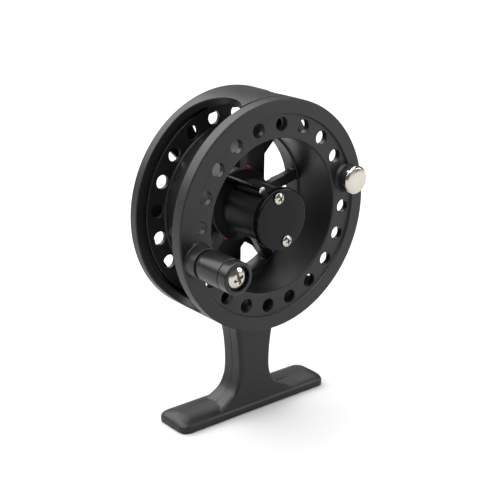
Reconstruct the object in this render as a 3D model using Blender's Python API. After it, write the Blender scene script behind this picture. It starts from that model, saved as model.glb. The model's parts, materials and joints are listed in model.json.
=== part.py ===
"""Click-and-pawl fly reel, 60 mm, as separate solids.

Frame of the model: metres, +Z up.  The origin is the centre of the foot's underside.
The spool turns about an axis parallel to Y at height AXIS_HEIGHT, and its handle side
faces -Y.  The foot lies along X.  Depths are given as a distance behind the spool's
front rim face, from 0 at that face to REEL_DEPTH at the back of the frame's ring.
"""
import math

import bmesh
import bpy
from mathutils import Vector

# ---------------------------------------------------------------- driving dimensions
CLEARANCE = 0.0003          # gap kept between pieces that touch
RIM_RADIUS = 0.030          # outer radius of the spool rim and of the frame ring
REEL_DEPTH = 0.0208         # front rim face to the back of the frame ring
AXIS_HEIGHT = 0.0556        # spool axis above the underside of the foot
RIM_THICKNESS = 0.0034      # exposed rim of the front flange
RIM_BAND = 0.0040           # flat band of the front flange outside its recess
RECESS_DEPTH = 0.0006       # the front flange is stepped back inside the band
FLANGE_WALL = 0.0018
DRUM_INNER_RADIUS = 0.0200
DRUM_WALL = 0.0012
RING_WIDTH = 0.0029         # radial width of the frame's rear ring
RING_THICKNESS = 0.0027
BACK_PLATE_WALL = 0.0013
REAR_FLANGE_WALL = 0.0012

HOLE_COUNT = 20             # round holes in each flange
HOLE_RADIUS = 0.00178
HOLE_CIRCLE_RADIUS = 0.02355
LINE_ANGLE = math.radians(13.98)     # counterweight side; the handle is opposite
HANDLE_CIRCLE_RADIUS = 0.0252

WEB_FRONT_DEPTH = 0.0140    # spoked wall inside the drum
WEB_WALL = 0.0024
SPOKE_COUNT = 5
SPOKE_WIDTH = 0.0027
HUB_RADIUS = 0.0072
HUB_DISC_RADIUS = 0.0093

SPINDLE_RADIUS = 0.0020
BUSH_WALL = 0.0011
BUSH_LENGTH = 0.0050

CAP_RADIUS = 0.0080
CAP_THICKNESS = 0.0020
CAP_SCREW_CIRCLE_RADIUS = 0.0060
CAP_SCREW_HEAD_RADIUS = 0.0015

HANDLE_RADIUS = 0.00405
HANDLE_LENGTH = 0.0109
HANDLE_BASE_HEIGHT = 0.0033
COUNTERWEIGHT_RADIUS = 0.00375
COUNTERWEIGHT_BOSS_RADIUS = 0.0034
COUNTERWEIGHT_BOSS_HEIGHT = 0.0018

BRIDGE_WALL = 0.0021
BRIDGE_INSET = 0.0001       # the bridge walls lie this far inside the ring's outside
TOP_BRIDGE_HALF_ANGLE = math.radians(12)     # at the waist of the wall
FOOT_BRIDGE_HALF_ANGLE = math.radians(38)
BRIDGE_WAIST_DEPTH = 0.0102
BRIDGE_FRONT_FLARE = math.radians(5.6)       # how far a side edge swings out at the front
BRIDGE_ROOT_FLARE = math.radians(20)         # and where the wall runs into the ring

STEM_WAIST_WIDTH = 0.0102
STEM_TOP_WIDTH = 0.0132
STEM_THICKNESS = 0.0074
FOOT_LENGTH = 0.0494
FOOT_WIDTH = 0.0118
FOOT_CORNER = 0.0024
FOOT_SET_BACK = 0.0014      # the foot's middle lies this far behind the reel's
STEM_SET_BACK = 0.0004
FOOT_THICKNESS = 0.0034
STEM_CORNER = 0.0011
FOOT_FILLET = 0.0075

GEAR_TEETH = 24             # a multiple of four, so a quarter turn brings the teeth back in line
GEAR_TIP_RADIUS = 0.0102
GEAR_TOOTH_DEPTH = 0.0009
GEAR_WALL = 0.0012
PAWL_WALL = 0.0011
PAWL_SWING = math.radians(12)
CLICK_KNOB_RADIUS = 0.0037
KNOB_SHAFT_RADIUS = 0.0011
KNOB_HEIGHT = 0.0022
PAWL_PIN_RADIUS = 0.0008

CAP_SCREW_SHANK = 0.0006
CAP_SCREW_END = 0.0040
HUB_PIN_RADIUS = 0.0010
HUB_PIN_ANGLE = math.radians(120)
POST_SHANK = 0.0013         # brass post that carries the handle
POST_END = 0.0014
POST_THREAD = 0.0020
HANDLE_SCREW_SHANK = 0.0008
WEIGHT_SHANK = 0.0012
WEIGHT_END = 0.0014
CLIP_FRONT = 0.0008
CLIP_WALL = 0.0005
CLIP_WIDTH = 0.0016
CLIP_OPENING = math.radians(38)
NUT_HALF_FLATS = 0.0035
NUT_HEIGHT = 0.0020
NUT_WASHER_RADIUS = 0.0043
NUT_WASHER_WALL = 0.0006

HUB_PLATE_HALF = 0.0126     # square plate of the frame behind the spool's hub
FOOT_STRUT_HALF = 0.0048
TOP_STRUT_HALF = 0.0070
WINDOW_CORNER = 0.0024
SIDE_WINDOW_ANGLE = math.radians(41)
SIDE_RIB_TIP = (0.0146, 0.0027)      # point of the rib that divides each side window
LOWER_WINDOW_CORNERS = ((0.0048, -0.0144), (0.0062, -0.0131), (0.0095, -0.0152), (0.0114, -0.0178))

# ---------------------------------------------------------------- worked-out places
AXIS = Vector((0.0, 0.0, AXIS_HEIGHT))
FRONT_Y = -REEL_DEPTH / 2 - FOOT_SET_BACK
STEM_Y = STEM_SET_BACK - FOOT_SET_BACK
RING_FRONT = REEL_DEPTH - RING_THICKNESS
RING_INNER_RADIUS = RIM_RADIUS - RING_WIDTH
PLATE_FRONT = REEL_DEPTH - BACK_PLATE_WALL
DRUM_OUTER_RADIUS = DRUM_INNER_RADIUS + DRUM_WALL
REAR_FLANGE_RADIUS = RING_INNER_RADIUS - CLEARANCE
REAR_FLANGE_FRONT = RING_FRONT - 0.0001
REAR_FLANGE_BACK = REAR_FLANGE_FRONT + REAR_FLANGE_WALL
WEB_BACK = WEB_FRONT_DEPTH + WEB_WALL
BUSH_BORE_RADIUS = SPINDLE_RADIUS + CLEARANCE
BUSH_RADIUS = BUSH_BORE_RADIUS + BUSH_WALL
HUB_BORE_RADIUS = BUSH_RADIUS + CLEARANCE
HUB_RECESS_DEPTH = 0.0026
HUB_RECESS_RADIUS = 0.0048
SPIGOT_RADIUS = 0.0050
SPIGOT_BACK = WEB_BACK + 0.0018
GEAR_FRONT = WEB_BACK + CLEARANCE
FRAME_BOSS_BACK = REEL_DEPTH + 0.0006
FRAME_BOSS_RADIUS = 0.0062
WINDOW_OUTER_RADIUS = 0.0242
HANDLE_ANGLE = LINE_ANGLE + math.pi
CAP_BACK = -CLEARANCE
CAP_FRONT = CAP_BACK - CAP_THICKNESS

PAWL_FRONT = GEAR_FRONT + 0.0001
PAWL_BACK = PAWL_FRONT + PAWL_WALL
KNOB_FRONT = REEL_DEPTH + CLEARANCE

CLIP_GROOVE_RADIUS = SPINDLE_RADIUS - 0.0005
THRUST_WASHER_FRONT = CLIP_FRONT + CLIP_WALL + CLEARANCE
NUT_WASHER_FRONT = FRAME_BOSS_BACK + CLEARANCE
NUT_FRONT = NUT_WASHER_FRONT + NUT_WASHER_WALL + CLEARANCE
SPINDLE_END = NUT_FRONT + NUT_HEIGHT + 0.0005


# ---------------------------------------------------------------- helpers
def clear_scene():
    for old in list(bpy.data.objects):
        bpy.data.objects.remove(old, do_unlink=True)


def finish(name, colour, roughness, metallic=0.0):
    made = bpy.data.materials.new(name)
    made.use_nodes = True
    shader = made.node_tree.nodes["Principled BSDF"]
    shader.inputs["Base Color"].default_value = (*colour, 1.0)
    shader.inputs["Roughness"].default_value = roughness
    shader.inputs["Metallic"].default_value = metallic
    return made


def place(angle, radius):
    """x, z from the spool axis of a point at an angle and radius."""
    return (radius * math.cos(angle), radius * math.sin(angle))


def world(x, depth, z):
    """A point given from the spool axis and the front rim face."""
    return Vector((x, FRONT_Y + depth, AXIS_HEIGHT + z))


def add_object(name, shape, look, origin, smooth_angle=35):
    """Turn a bmesh in world coordinates into an object whose origin is at `origin`."""
    bmesh.ops.remove_doubles(shape, verts=shape.verts, dist=1e-7)
    bmesh.ops.recalc_face_normals(shape, faces=shape.faces)
    bmesh.ops.translate(shape, verts=shape.verts, vec=-origin)
    mesh = bpy.data.meshes.new(name)
    shape.to_mesh(mesh)
    shape.free()
    mesh.shade_smooth()
    mesh.set_sharp_from_angle(angle=math.radians(smooth_angle))
    mesh.materials.append(look)
    made = bpy.data.objects.new(name, mesh)
    made.location = origin
    bpy.context.collection.objects.link(made)
    return made


def make_guide(made):
    """A shape that only cuts or extends another one."""
    made.hide_render = True
    made.display_type = "WIRE"
    return made


def combine(target, guide, operation):
    make_guide(guide)
    step = target.modifiers.new(operation.title() + " " + guide.name, "BOOLEAN")
    step.operation = operation
    step.solver = "EXACT"
    step.object = guide


def add_turned(shape, profile, centre, segments):
    """Turn a profile of (radius, depth) points about an axis parallel to Y."""
    rings = []
    for radius, depth in profile:
        if radius == 0:
            rings.append([shape.verts.new(world(centre[0], depth, centre[1]))])
            continue
        ring = []
        for index in range(segments):
            dx, dz = place(math.tau * index / segments, radius)
            ring.append(shape.verts.new(world(centre[0] + dx, depth, centre[1] + dz)))
        rings.append(ring)
    solid = profile[0][0] == 0 and profile[-1][0] == 0
    last = len(rings) - 1 if solid else len(rings)
    for index in range(last):
        near, far = rings[index], rings[(index + 1) % len(rings)]
        for a in range(segments):
            b = (a + 1) % segments
            corners = (near[a % len(near)], near[b % len(near)], far[b % len(far)], far[a % len(far)])
            shape.faces.new(list(dict.fromkeys(corners)))


def turned(name, profile, look, centre=(0.0, 0.0), segments=24):
    shape = bmesh.new()
    add_turned(shape, profile, centre, segments)
    return add_object(name, shape, look, world(centre[0], 0.0, centre[1]))


def add_prism(shape, outline, front, back):
    """Extrude an outline of (x, z) points, taken from the spool axis, along Y."""
    near = [shape.verts.new(world(x, front, z)) for x, z in outline]
    far = [shape.verts.new(world(x, back, z)) for x, z in outline]
    count = len(outline)
    shape.faces.new(near)
    shape.faces.new(far[::-1])
    for a in range(count):
        b = (a + 1) % count
        shape.faces.new((near[a], far[a], far[b], near[b]))


def add_ring_prism(shape, outer, inner, front, back):
    """Extrude the space between two outlines with the same number of points."""
    loops = []
    for outline, depth in ((outer, front), (outer, back), (inner, back), (inner, front)):
        loops.append([shape.verts.new(world(x, depth, z)) for x, z in outline])
    count = len(outer)
    for index in range(4):
        near, far = loops[index], loops[(index + 1) % 4]
        for a in range(count):
            b = (a + 1) % count
            shape.faces.new((near[a], near[b], far[b], far[a]))


def arc(start, end, radius, steps, centre=(0.0, 0.0)):
    points = []
    for index in range(steps + 1):
        dx, dz = place(start + (end - start) * index / steps, radius)
        points.append((centre[0] + dx, centre[1] + dz))
    return points


def rod(radius, front, back, chamfer=0.0):
    """Profile of a plain round pin with an optional chamfer at its front end."""
    if chamfer == 0:
        return [(0, front), (radius, front), (radius, back), (0, back)]
    return [
        (0, front),
        (radius - chamfer, front),
        (radius, front + chamfer),
        (radius, back),
        (0, back),
    ]


def tube(outer, inner, front, back):
    return [(outer, front), (outer, back), (inner, back), (inner, front)]


PAWL_PIVOT = place(math.radians(142), GEAR_TIP_RADIUS + 0.0037)
PAWL_TIP = place(math.radians(162), GEAR_TIP_RADIUS + 0.0007)
KNOB_OFFSET = place(math.radians(40), CLICK_KNOB_RADIUS + PAWL_PIN_RADIUS + CLEARANCE)
KNOB_PIVOT = (PAWL_PIVOT[0] + KNOB_OFFSET[0], PAWL_PIVOT[1] + KNOB_OFFSET[1])
HUB_PIN_PLACE = place(HUB_PIN_ANGLE, HUB_RADIUS + 2 * CLEARANCE + HUB_PIN_RADIUS)


# ---------------------------------------------------------------- spool
def spool_profile():
    rim_edge = 0.0004
    step = RIM_RADIUS - RIM_BAND
    back_of_flange = RECESS_DEPTH + FLANGE_WALL
    return [
        (DRUM_INNER_RADIUS, RECESS_DEPTH + rim_edge),
        (DRUM_INNER_RADIUS + rim_edge, RECESS_DEPTH),
        (step, RECESS_DEPTH),
        (step + RECESS_DEPTH / 2, 0.0),
        (RIM_RADIUS - rim_edge, 0.0),
        (RIM_RADIUS, rim_edge),
        (RIM_RADIUS, RIM_THICKNESS - rim_edge),
        (RIM_RADIUS - rim_edge, RIM_THICKNESS),
        (step + 0.0012, RIM_THICKNESS),
        (step, back_of_flange),
        (DRUM_OUTER_RADIUS, back_of_flange),
        (DRUM_OUTER_RADIUS, REAR_FLANGE_FRONT),
        (REAR_FLANGE_RADIUS, REAR_FLANGE_FRONT),
        (REAR_FLANGE_RADIUS, REAR_FLANGE_BACK),
        (DRUM_INNER_RADIUS, REAR_FLANGE_BACK),
        (DRUM_INNER_RADIUS, WEB_BACK),
        (SPIGOT_RADIUS, WEB_BACK),
        (SPIGOT_RADIUS, SPIGOT_BACK),
        (HUB_BORE_RADIUS, SPIGOT_BACK),
        (HUB_BORE_RADIUS, SPIGOT_BACK - BUSH_LENGTH),
        (BUSH_BORE_RADIUS + BUSH_WALL / 2, SPIGOT_BACK - BUSH_LENGTH - 0.0001),
        (BUSH_BORE_RADIUS + BUSH_WALL / 2, HUB_RECESS_DEPTH + BUSH_LENGTH + 2 * CLEARANCE),
        (HUB_BORE_RADIUS, HUB_RECESS_DEPTH + BUSH_LENGTH + 2 * CLEARANCE - 0.0001),
        (HUB_BORE_RADIUS, HUB_RECESS_DEPTH),
        (HUB_RECESS_RADIUS, HUB_RECESS_DEPTH),
        (HUB_RECESS_RADIUS, 0.0),
        (HUB_RADIUS, 0.0),
        (HUB_RADIUS, WEB_FRONT_DEPTH - (HUB_DISC_RADIUS - HUB_RADIUS)),
        (HUB_DISC_RADIUS, WEB_FRONT_DEPTH),
        (DRUM_INNER_RADIUS, WEB_FRONT_DEPTH),
    ]


def web_windows():
    """Openings between the spokes of the drum's inner wall."""
    shape = bmesh.new()
    outer = DRUM_INNER_RADIUS - 0.0004
    inner = HUB_DISC_RADIUS + 0.0002
    for index in range(SPOKE_COUNT):
        first = LINE_ANGLE + math.tau * index / SPOKE_COUNT
        second = first + math.tau / SPOKE_COUNT
        outer_share = math.asin(SPOKE_WIDTH / 2 / outer)
        inner_share = math.asin(SPOKE_WIDTH / 2 / inner)
        outline = arc(first + outer_share, second - outer_share, outer, 8)
        outline += arc(second - inner_share, first + inner_share, inner, 5)
        add_prism(shape, outline, WEB_FRONT_DEPTH - 0.002, WEB_BACK + 0.001)
    return add_object("web_window_guide", shape, black_abs, AXIS.copy())


def flange_holes():
    """Round holes in both flanges; the counterweight and handle bosses take two places."""
    shape = bmesh.new()
    for index in range(HOLE_COUNT):
        angle = LINE_ANGLE + math.tau * index / HOLE_COUNT
        centre = place(angle, HOLE_CIRCLE_RADIUS)
        front_taken = index % (HOLE_COUNT // 2) == 0
        if not front_taken:
            add_turned(shape, rod(HOLE_RADIUS, -0.001, RIM_THICKNESS + 0.002), centre, 10)
        through = rod(HOLE_RADIUS, REAR_FLANGE_FRONT - 0.001, REAR_FLANGE_BACK + CLEARANCE)
        add_turned(shape, through, centre, 10)
    return add_object("flange_hole_guide", shape, black_abs, AXIS.copy())


def spool_bosses():
    """Raised seats of the handle and the counterweight, sunk into the flange."""
    shape = bmesh.new()
    sunk = RECESS_DEPTH + FLANGE_WALL * 0.6
    foot = 0.0012
    handle = place(HANDLE_ANGLE, HANDLE_CIRCLE_RADIUS)
    base_radius = HANDLE_RADIUS + 0.0004
    profile = [(0, -HANDLE_BASE_HEIGHT), (HANDLE_RADIUS - 0.0003, -HANDLE_BASE_HEIGHT)]
    profile += [(HANDLE_RADIUS, -HANDLE_BASE_HEIGHT + 0.0003), (base_radius, -foot)]
    profile += [(base_radius, sunk), (0, sunk)]
    add_turned(shape, profile, handle, 24)
    weight = place(LINE_ANGLE, HANDLE_CIRCLE_RADIUS)
    top = -COUNTERWEIGHT_BOSS_HEIGHT
    profile = [(0, top), (COUNTERWEIGHT_BOSS_RADIUS, top), (COUNTERWEIGHT_BOSS_RADIUS, -foot)]
    profile += [(COUNTERWEIGHT_BOSS_RADIUS + 0.0004, sunk), (0, sunk)]
    add_turned(shape, profile, weight, 24)
    return add_object("spool_boss_guide", shape, black_abs, AXIS.copy())


def spool_bores():
    """Blind holes for the cap screws, the hub pin, the handle post and the counterweight's shank."""
    shape = bmesh.new()
    for side in (1, -1):
        centre = place(LINE_ANGLE + side * math.pi / 2, CAP_SCREW_CIRCLE_RADIUS)
        add_turned(shape, rod(CAP_SCREW_SHANK + CLEARANCE, -0.001, CAP_SCREW_END + CLEARANCE), centre, 10)
    pin_bore = rod(HUB_PIN_RADIUS + CLEARANCE, WEB_FRONT_DEPTH - 0.003, WEB_BACK + 0.001)
    add_turned(shape, pin_bore, HUB_PIN_PLACE, 12)
    handle = place(HANDLE_ANGLE, HANDLE_CIRCLE_RADIUS)
    post_bore = rod(POST_SHANK + CLEARANCE, -HANDLE_BASE_HEIGHT - 0.001, POST_END + CLEARANCE)
    add_turned(shape, post_bore, handle, 12)
    weight = place(LINE_ANGLE, HANDLE_CIRCLE_RADIUS)
    top = -COUNTERWEIGHT_BOSS_HEIGHT - 0.001
    add_turned(shape, rod(WEIGHT_SHANK + CLEARANCE, top, WEIGHT_END + CLEARANCE), weight, 12)
    return add_object("spool_bore_guide", shape, black_abs, AXIS.copy())


def make_spool():
    spool = turned("spool", spool_profile(), black_abs, segments=64)
    combine(spool, web_windows(), "DIFFERENCE")
    combine(spool, flange_holes(), "DIFFERENCE")
    combine(spool, spool_bosses(), "UNION")
    combine(spool, spool_bores(), "DIFFERENCE")


# ---------------------------------------------------------------- hub
def make_bushes():
    front = HUB_RECESS_DEPTH + CLEARANCE
    turned("hub_bush_front", tube(BUSH_RADIUS, BUSH_BORE_RADIUS, front, front + BUSH_LENGTH), bronze)
    back = SPIGOT_BACK
    start = back - BUSH_LENGTH + CLEARANCE
    turned("hub_bush_rear", tube(BUSH_RADIUS, BUSH_BORE_RADIUS, start, back), bronze)


def make_spindle():
    """Fixed axle: groove for the clip at its front, shoulder on the frame, thread end behind."""
    tip = 0.0002
    chamfer = 0.0003
    shoulder = SPINDLE_RADIUS + 0.0016
    shoulder_back = PLATE_FRONT - CLEARANCE
    profile = [
        (0, tip),
        (SPINDLE_RADIUS - chamfer, tip),
        (SPINDLE_RADIUS, tip + chamfer),
        (SPINDLE_RADIUS, CLIP_FRONT - CLEARANCE),
        (CLIP_GROOVE_RADIUS, CLIP_FRONT - CLEARANCE + 0.0001),
        (CLIP_GROOVE_RADIUS, CLIP_FRONT + CLIP_WALL + CLEARANCE - 0.0001),
        (SPINDLE_RADIUS, CLIP_FRONT + CLIP_WALL + CLEARANCE),
        (SPINDLE_RADIUS, SPIGOT_BACK + CLEARANCE),
        (shoulder, SPIGOT_BACK + CLEARANCE),
        (shoulder, shoulder_back),
        (SPINDLE_RADIUS, shoulder_back),
        (SPINDLE_RADIUS, SPINDLE_END - chamfer),
        (SPINDLE_RADIUS - chamfer, SPINDLE_END),
        (0, SPINDLE_END),
    ]
    turned("spindle", profile, steel, segments=20)


def make_spindle_fittings():
    washer_back = HUB_RECESS_DEPTH - CLEARANCE
    washer = tube(HUB_RECESS_RADIUS - 0.0006, BUSH_BORE_RADIUS, THRUST_WASHER_FRONT, washer_back)
    turned("thrust_washer", washer, steel, segments=20)
    inner = CLIP_GROOVE_RADIUS + CLEARANCE
    outline = arc(CLIP_OPENING, math.tau - CLIP_OPENING, inner + CLIP_WIDTH, 16)
    outline += arc(math.tau - CLIP_OPENING, CLIP_OPENING, inner, 12)
    shape = bmesh.new()
    add_prism(shape, outline, CLIP_FRONT, CLIP_FRONT + CLIP_WALL)
    add_object("spindle_clip", shape, steel, AXIS.copy())
    washer_end = NUT_WASHER_FRONT + NUT_WASHER_WALL
    washer = tube(NUT_WASHER_RADIUS, BUSH_BORE_RADIUS, NUT_WASHER_FRONT, washer_end)
    turned("nut_washer", washer, steel, segments=20)


def make_nut():
    points = 24
    corner_angle = math.tau / 6
    outer = []
    inner = []
    for index in range(points):
        angle = math.tau * index / points
        from_flat = (angle % corner_angle) - corner_angle / 2
        outer.append(place(angle, NUT_HALF_FLATS / math.cos(from_flat)))
        inner.append(place(angle, BUSH_BORE_RADIUS))
    shape = bmesh.new()
    add_ring_prism(shape, outer, inner, NUT_FRONT, NUT_FRONT + NUT_HEIGHT)
    add_object("spindle_nut", shape, steel, AXIS.copy())


def make_cap():
    edge = 0.0006
    profile = [
        (0, CAP_FRONT),
        (CAP_RADIUS - edge, CAP_FRONT),
        (CAP_RADIUS - edge * 0.3, CAP_FRONT + edge * 0.3),
        (CAP_RADIUS, CAP_FRONT + edge),
        (CAP_RADIUS, CAP_BACK),
        (0, CAP_BACK),
    ]
    cap = turned("hub_cap", profile, gloss_abs, segments=40)
    shape = bmesh.new()
    for side in (1, -1):
        centre = place(LINE_ANGLE + side * math.pi / 2, CAP_SCREW_CIRCLE_RADIUS)
        through = rod(CAP_SCREW_SHANK + CLEARANCE, CAP_FRONT - 0.001, CAP_BACK + 0.001)
        add_turned(shape, through, centre, 10)
    combine(cap, add_object("cap_hole_guide", shape, gloss_abs, AXIS.copy()), "DIFFERENCE")


def add_cross_slot(name, look, centre, face, reach, width, depth):
    """Cutter for the cross recess of a screw head."""
    shape = bmesh.new()
    half = width / 2
    outline = []
    for index in range(4):
        turn = math.tau * index / 4 + math.pi / 5
        for along, across in ((half, half), (reach, half), (reach, -half)):
            x = along * math.cos(turn) + across * math.sin(turn)
            z = along * math.sin(turn) - across * math.cos(turn)
            outline.append((centre[0] + x, centre[1] + z))
    add_prism(shape, outline[::-1], face - 0.001, face + depth)
    return add_object(name, shape, look, AXIS.copy())


def make_screw(name, centre, head_radius, head_height, head_back, shank, end, look):
    """Pan-head cross-recess screw that points away from the front."""
    top = head_back - head_height
    profile = [
        (0, top),
        (head_radius * 0.62, top + head_height * 0.08),
        (head_radius * 0.90, top + head_height * 0.40),
        (head_radius, top + head_height * 0.75),
        (head_radius, head_back),
        (shank, head_back),
        (shank, end),
        (0, end),
    ]
    screw = turned(name, profile, look, centre=centre, segments=16)
    recess = add_cross_slot(
        name + "_slot_guide", look, centre, top, head_radius * 0.55, head_radius * 0.26, head_height * 0.5)
    combine(screw, recess, "DIFFERENCE")


def make_cap_screws():
    for label, side in (("upper", 1), ("lower", -1)):
        centre = place(LINE_ANGLE + side * math.pi / 2, CAP_SCREW_CIRCLE_RADIUS)
        make_screw("cap_screw_" + label, centre, CAP_SCREW_HEAD_RADIUS, 0.0009, CAP_FRONT - CLEARANCE,
                   CAP_SCREW_SHANK, CAP_SCREW_END, nickel)


def make_hub_pin():
    profile = rod(HUB_PIN_RADIUS, CLEARANCE, WEB_BACK - 0.0002, chamfer=0.0002)
    turned("hub_pin", profile, steel, centre=HUB_PIN_PLACE, segments=14)


# ---------------------------------------------------------------- handle and counterweight
def make_handle():
    centre = place(HANDLE_ANGLE, HANDLE_CIRCLE_RADIUS)
    seat = -HANDLE_BASE_HEIGHT
    washer_wall = 0.0004
    washer_back = seat - CLEARANCE
    washer_front = washer_back - washer_wall
    knob_back = washer_front - CLEARANCE
    knob_front = knob_back - HANDLE_LENGTH
    sleeve = POST_SHANK + 0.0006
    bore = sleeve + CLEARANCE
    pocket_depth = 0.0013
    pocket_radius = HANDLE_RADIUS - 0.0009
    washer = tube(HANDLE_RADIUS - 0.0004, POST_SHANK + CLEARANCE, washer_front, washer_back)
    turned("handle_washer", washer, brass, centre=centre, segments=20)
    groove = 0.0002
    groove_place = knob_front + 0.0030
    profile = [
        (pocket_radius, knob_front),
        (HANDLE_RADIUS - 0.0005, knob_front),
        (HANDLE_RADIUS, knob_front + 0.0005),
        (HANDLE_RADIUS, groove_place - groove),
        (HANDLE_RADIUS - groove, groove_place),
        (HANDLE_RADIUS, groove_place + groove),
        (HANDLE_RADIUS, knob_back - 0.0004),
        (HANDLE_RADIUS - 0.0004, knob_back),
        (bore, knob_back),
        (bore, knob_front + pocket_depth),
        (pocket_radius, knob_front + pocket_depth),
    ]
    turned("handle_knob", profile, black_abs, centre=centre, segments=28)
    post_front = knob_front + pocket_depth + 0.0001
    thread_end = POST_END - POST_THREAD
    post = [
        (sleeve, post_front),
        (sleeve, washer_front - CLEARANCE),
        (POST_SHANK, washer_front - CLEARANCE),
        (POST_SHANK, POST_END),
        (0, POST_END),
        (0, thread_end),
        (HANDLE_SCREW_SHANK + CLEARANCE, thread_end),
        (HANDLE_SCREW_SHANK + CLEARANCE, post_front),
    ]
    shape = bmesh.new()
    add_turned(shape, post[5:] + post[:5], centre, 16)
    add_object("handle_post", shape, brass, world(centre[0], 0.0, centre[1]))
    head_back = post_front - CLEARANCE
    make_screw("handle_screw", centre, pocket_radius - CLEARANCE - 0.0002, 0.0012, head_back,
               HANDLE_SCREW_SHANK, thread_end - CLEARANCE, nickel)


def make_counterweight():
    centre = place(LINE_ANGLE, HANDLE_CIRCLE_RADIUS)
    back = -COUNTERWEIGHT_BOSS_HEIGHT - CLEARANCE
    wall = 0.0016
    edge = 0.0005
    profile = [
        (0, back - wall),
        (COUNTERWEIGHT_RADIUS - edge * 1.6, back - wall + 0.0001),
        (COUNTERWEIGHT_RADIUS - edge * 0.3, back - wall + edge * 0.7),
        (COUNTERWEIGHT_RADIUS, back - wall + edge * 1.5),
        (COUNTERWEIGHT_RADIUS, back - edge * 0.4),
        (COUNTERWEIGHT_RADIUS - edge * 0.4, back),
        (WEIGHT_SHANK, back),
        (WEIGHT_SHANK, WEIGHT_END),
        (0, WEIGHT_END),
    ]
    turned("counterweight", profile, nickel, centre=centre, segments=28)


# ---------------------------------------------------------------- click
def engaged_tip():
    """x, z of the pawl's tip after the knob has swung it into the ratchet wheel."""
    arm_x = PAWL_TIP[0] - PAWL_PIVOT[0]
    arm_z = PAWL_TIP[1] - PAWL_PIVOT[1]
    cos, sin = math.cos(PAWL_SWING), math.sin(PAWL_SWING)
    return (PAWL_PIVOT[0] + arm_x * cos - arm_z * sin, PAWL_PIVOT[1] + arm_x * sin + arm_z * cos)


def make_click_gear():
    """Ratchet wheel pressed on the back of the spool hub, with a tooth gap where the pawl drops in."""
    root = GEAR_TIP_RADIUS - GEAR_TOOTH_DEPTH
    pitch = math.tau / GEAR_TEETH
    tip_x, tip_z = engaged_tip()
    first_gap = math.atan2(tip_z, tip_x) - 0.15 * pitch      # the tip bears on one flank
    outer = []
    inner = []
    for tooth in range(GEAR_TEETH):
        gap_middle = first_gap + tooth * pitch
        corners = ((-0.16, root), (0.16, root), (0.40, GEAR_TIP_RADIUS), (0.60, GEAR_TIP_RADIUS))
        for share, radius in corners:
            angle = gap_middle + share * pitch
            outer.append(place(angle, radius))
            inner.append(place(angle, SPIGOT_RADIUS + CLEARANCE))
    shape = bmesh.new()
    add_ring_prism(shape, outer, inner, GEAR_FRONT, GEAR_FRONT + GEAR_WALL)
    add_object("click_gear", shape, red_acetal, AXIS.copy(), smooth_angle=20)


def make_click():
    """Pawl on its pin, its hairspring, and the knob whose cam swings it into the teeth."""
    px, pz = PAWL_PIVOT
    pin = PAWL_PIN_RADIUS
    bore = pin + CLEARANCE
    boss = bore + 0.0009
    tip = Vector(PAWL_TIP)
    along = (tip - Vector((px, pz))).normalized()
    across = Vector((-along.y, along.x))
    pivot = Vector((px, pz))
    heading = math.atan2(along.y, along.x)
    shoulder = math.radians(38)
    outline = arc(heading + shoulder, heading + math.tau - shoulder, boss, 14, centre=PAWL_PIVOT)
    neck = pivot + along * (boss + 0.0010)
    bevel = tip - along * 0.0010
    half_neck = across * 0.0010
    half_bevel = across * 0.00048
    for point in (neck - half_neck, bevel - half_bevel, tip, bevel + half_bevel, neck + half_neck):
        outline.append((point.x, point.y))
    shape = bmesh.new()
    add_prism(shape, outline, PAWL_FRONT, PAWL_BACK)
    pawl = add_object("click_pawl", shape, acetal, world(px, PAWL_FRONT, pz))
    hole = bmesh.new()
    add_turned(hole, rod(bore, PAWL_FRONT - 0.001, PAWL_BACK + 0.001), PAWL_PIVOT, 12)
    combine(pawl, add_object("pawl_bore_guide", hole, acetal, AXIS.copy()), "DIFFERENCE")

    head = [
        (0, PAWL_FRONT - CLEARANCE - 0.0001),
        (pin, PAWL_FRONT - CLEARANCE - 0.0001),
        (pin, FRAME_BOSS_BACK - 0.0002),
        (0, FRAME_BOSS_BACK - 0.0002),
    ]
    turned("pawl_pin", head, steel, centre=PAWL_PIVOT, segments=12)
    make_hairspring(pin + CLEARANCE + 0.0004)
    make_click_knob()


def make_hairspring(radius):
    """Coil of fine wire round the pawl's pin, between the pawl and the frame."""
    wire = 0.00018
    turns = 1.6
    steps = 22
    sides = 6
    start = PAWL_BACK + CLEARANCE + wire
    end = PLATE_FRONT - CLEARANCE - wire
    shape = bmesh.new()
    rings = []
    for index in range(steps + 1):
        share = index / steps
        angle = math.tau * turns * share
        centre = Vector((PAWL_PIVOT[0], 0.0, PAWL_PIVOT[1]))
        outward = Vector((math.cos(angle), 0.0, math.sin(angle)))
        middle = centre + outward * radius
        depth = start + (end - start) * share
        ring = []
        for corner in range(sides):
            turn = math.tau * corner / sides
            offset = outward * (wire * math.cos(turn))
            lift = wire * math.sin(turn)
            ring.append(shape.verts.new(world(middle.x + offset.x, depth + lift, middle.z + offset.z)))
        rings.append(ring)
    for near, far in zip(rings, rings[1:]):
        for a in range(sides):
            b = (a + 1) % sides
            shape.faces.new((near[a], near[b], far[b], far[a]))
    shape.faces.new(rings[0][::-1])
    shape.faces.new(rings[-1])
    add_object("pawl_spring", shape, steel, world(PAWL_PIVOT[0], PLATE_FRONT, PAWL_PIVOT[1]))


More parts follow.
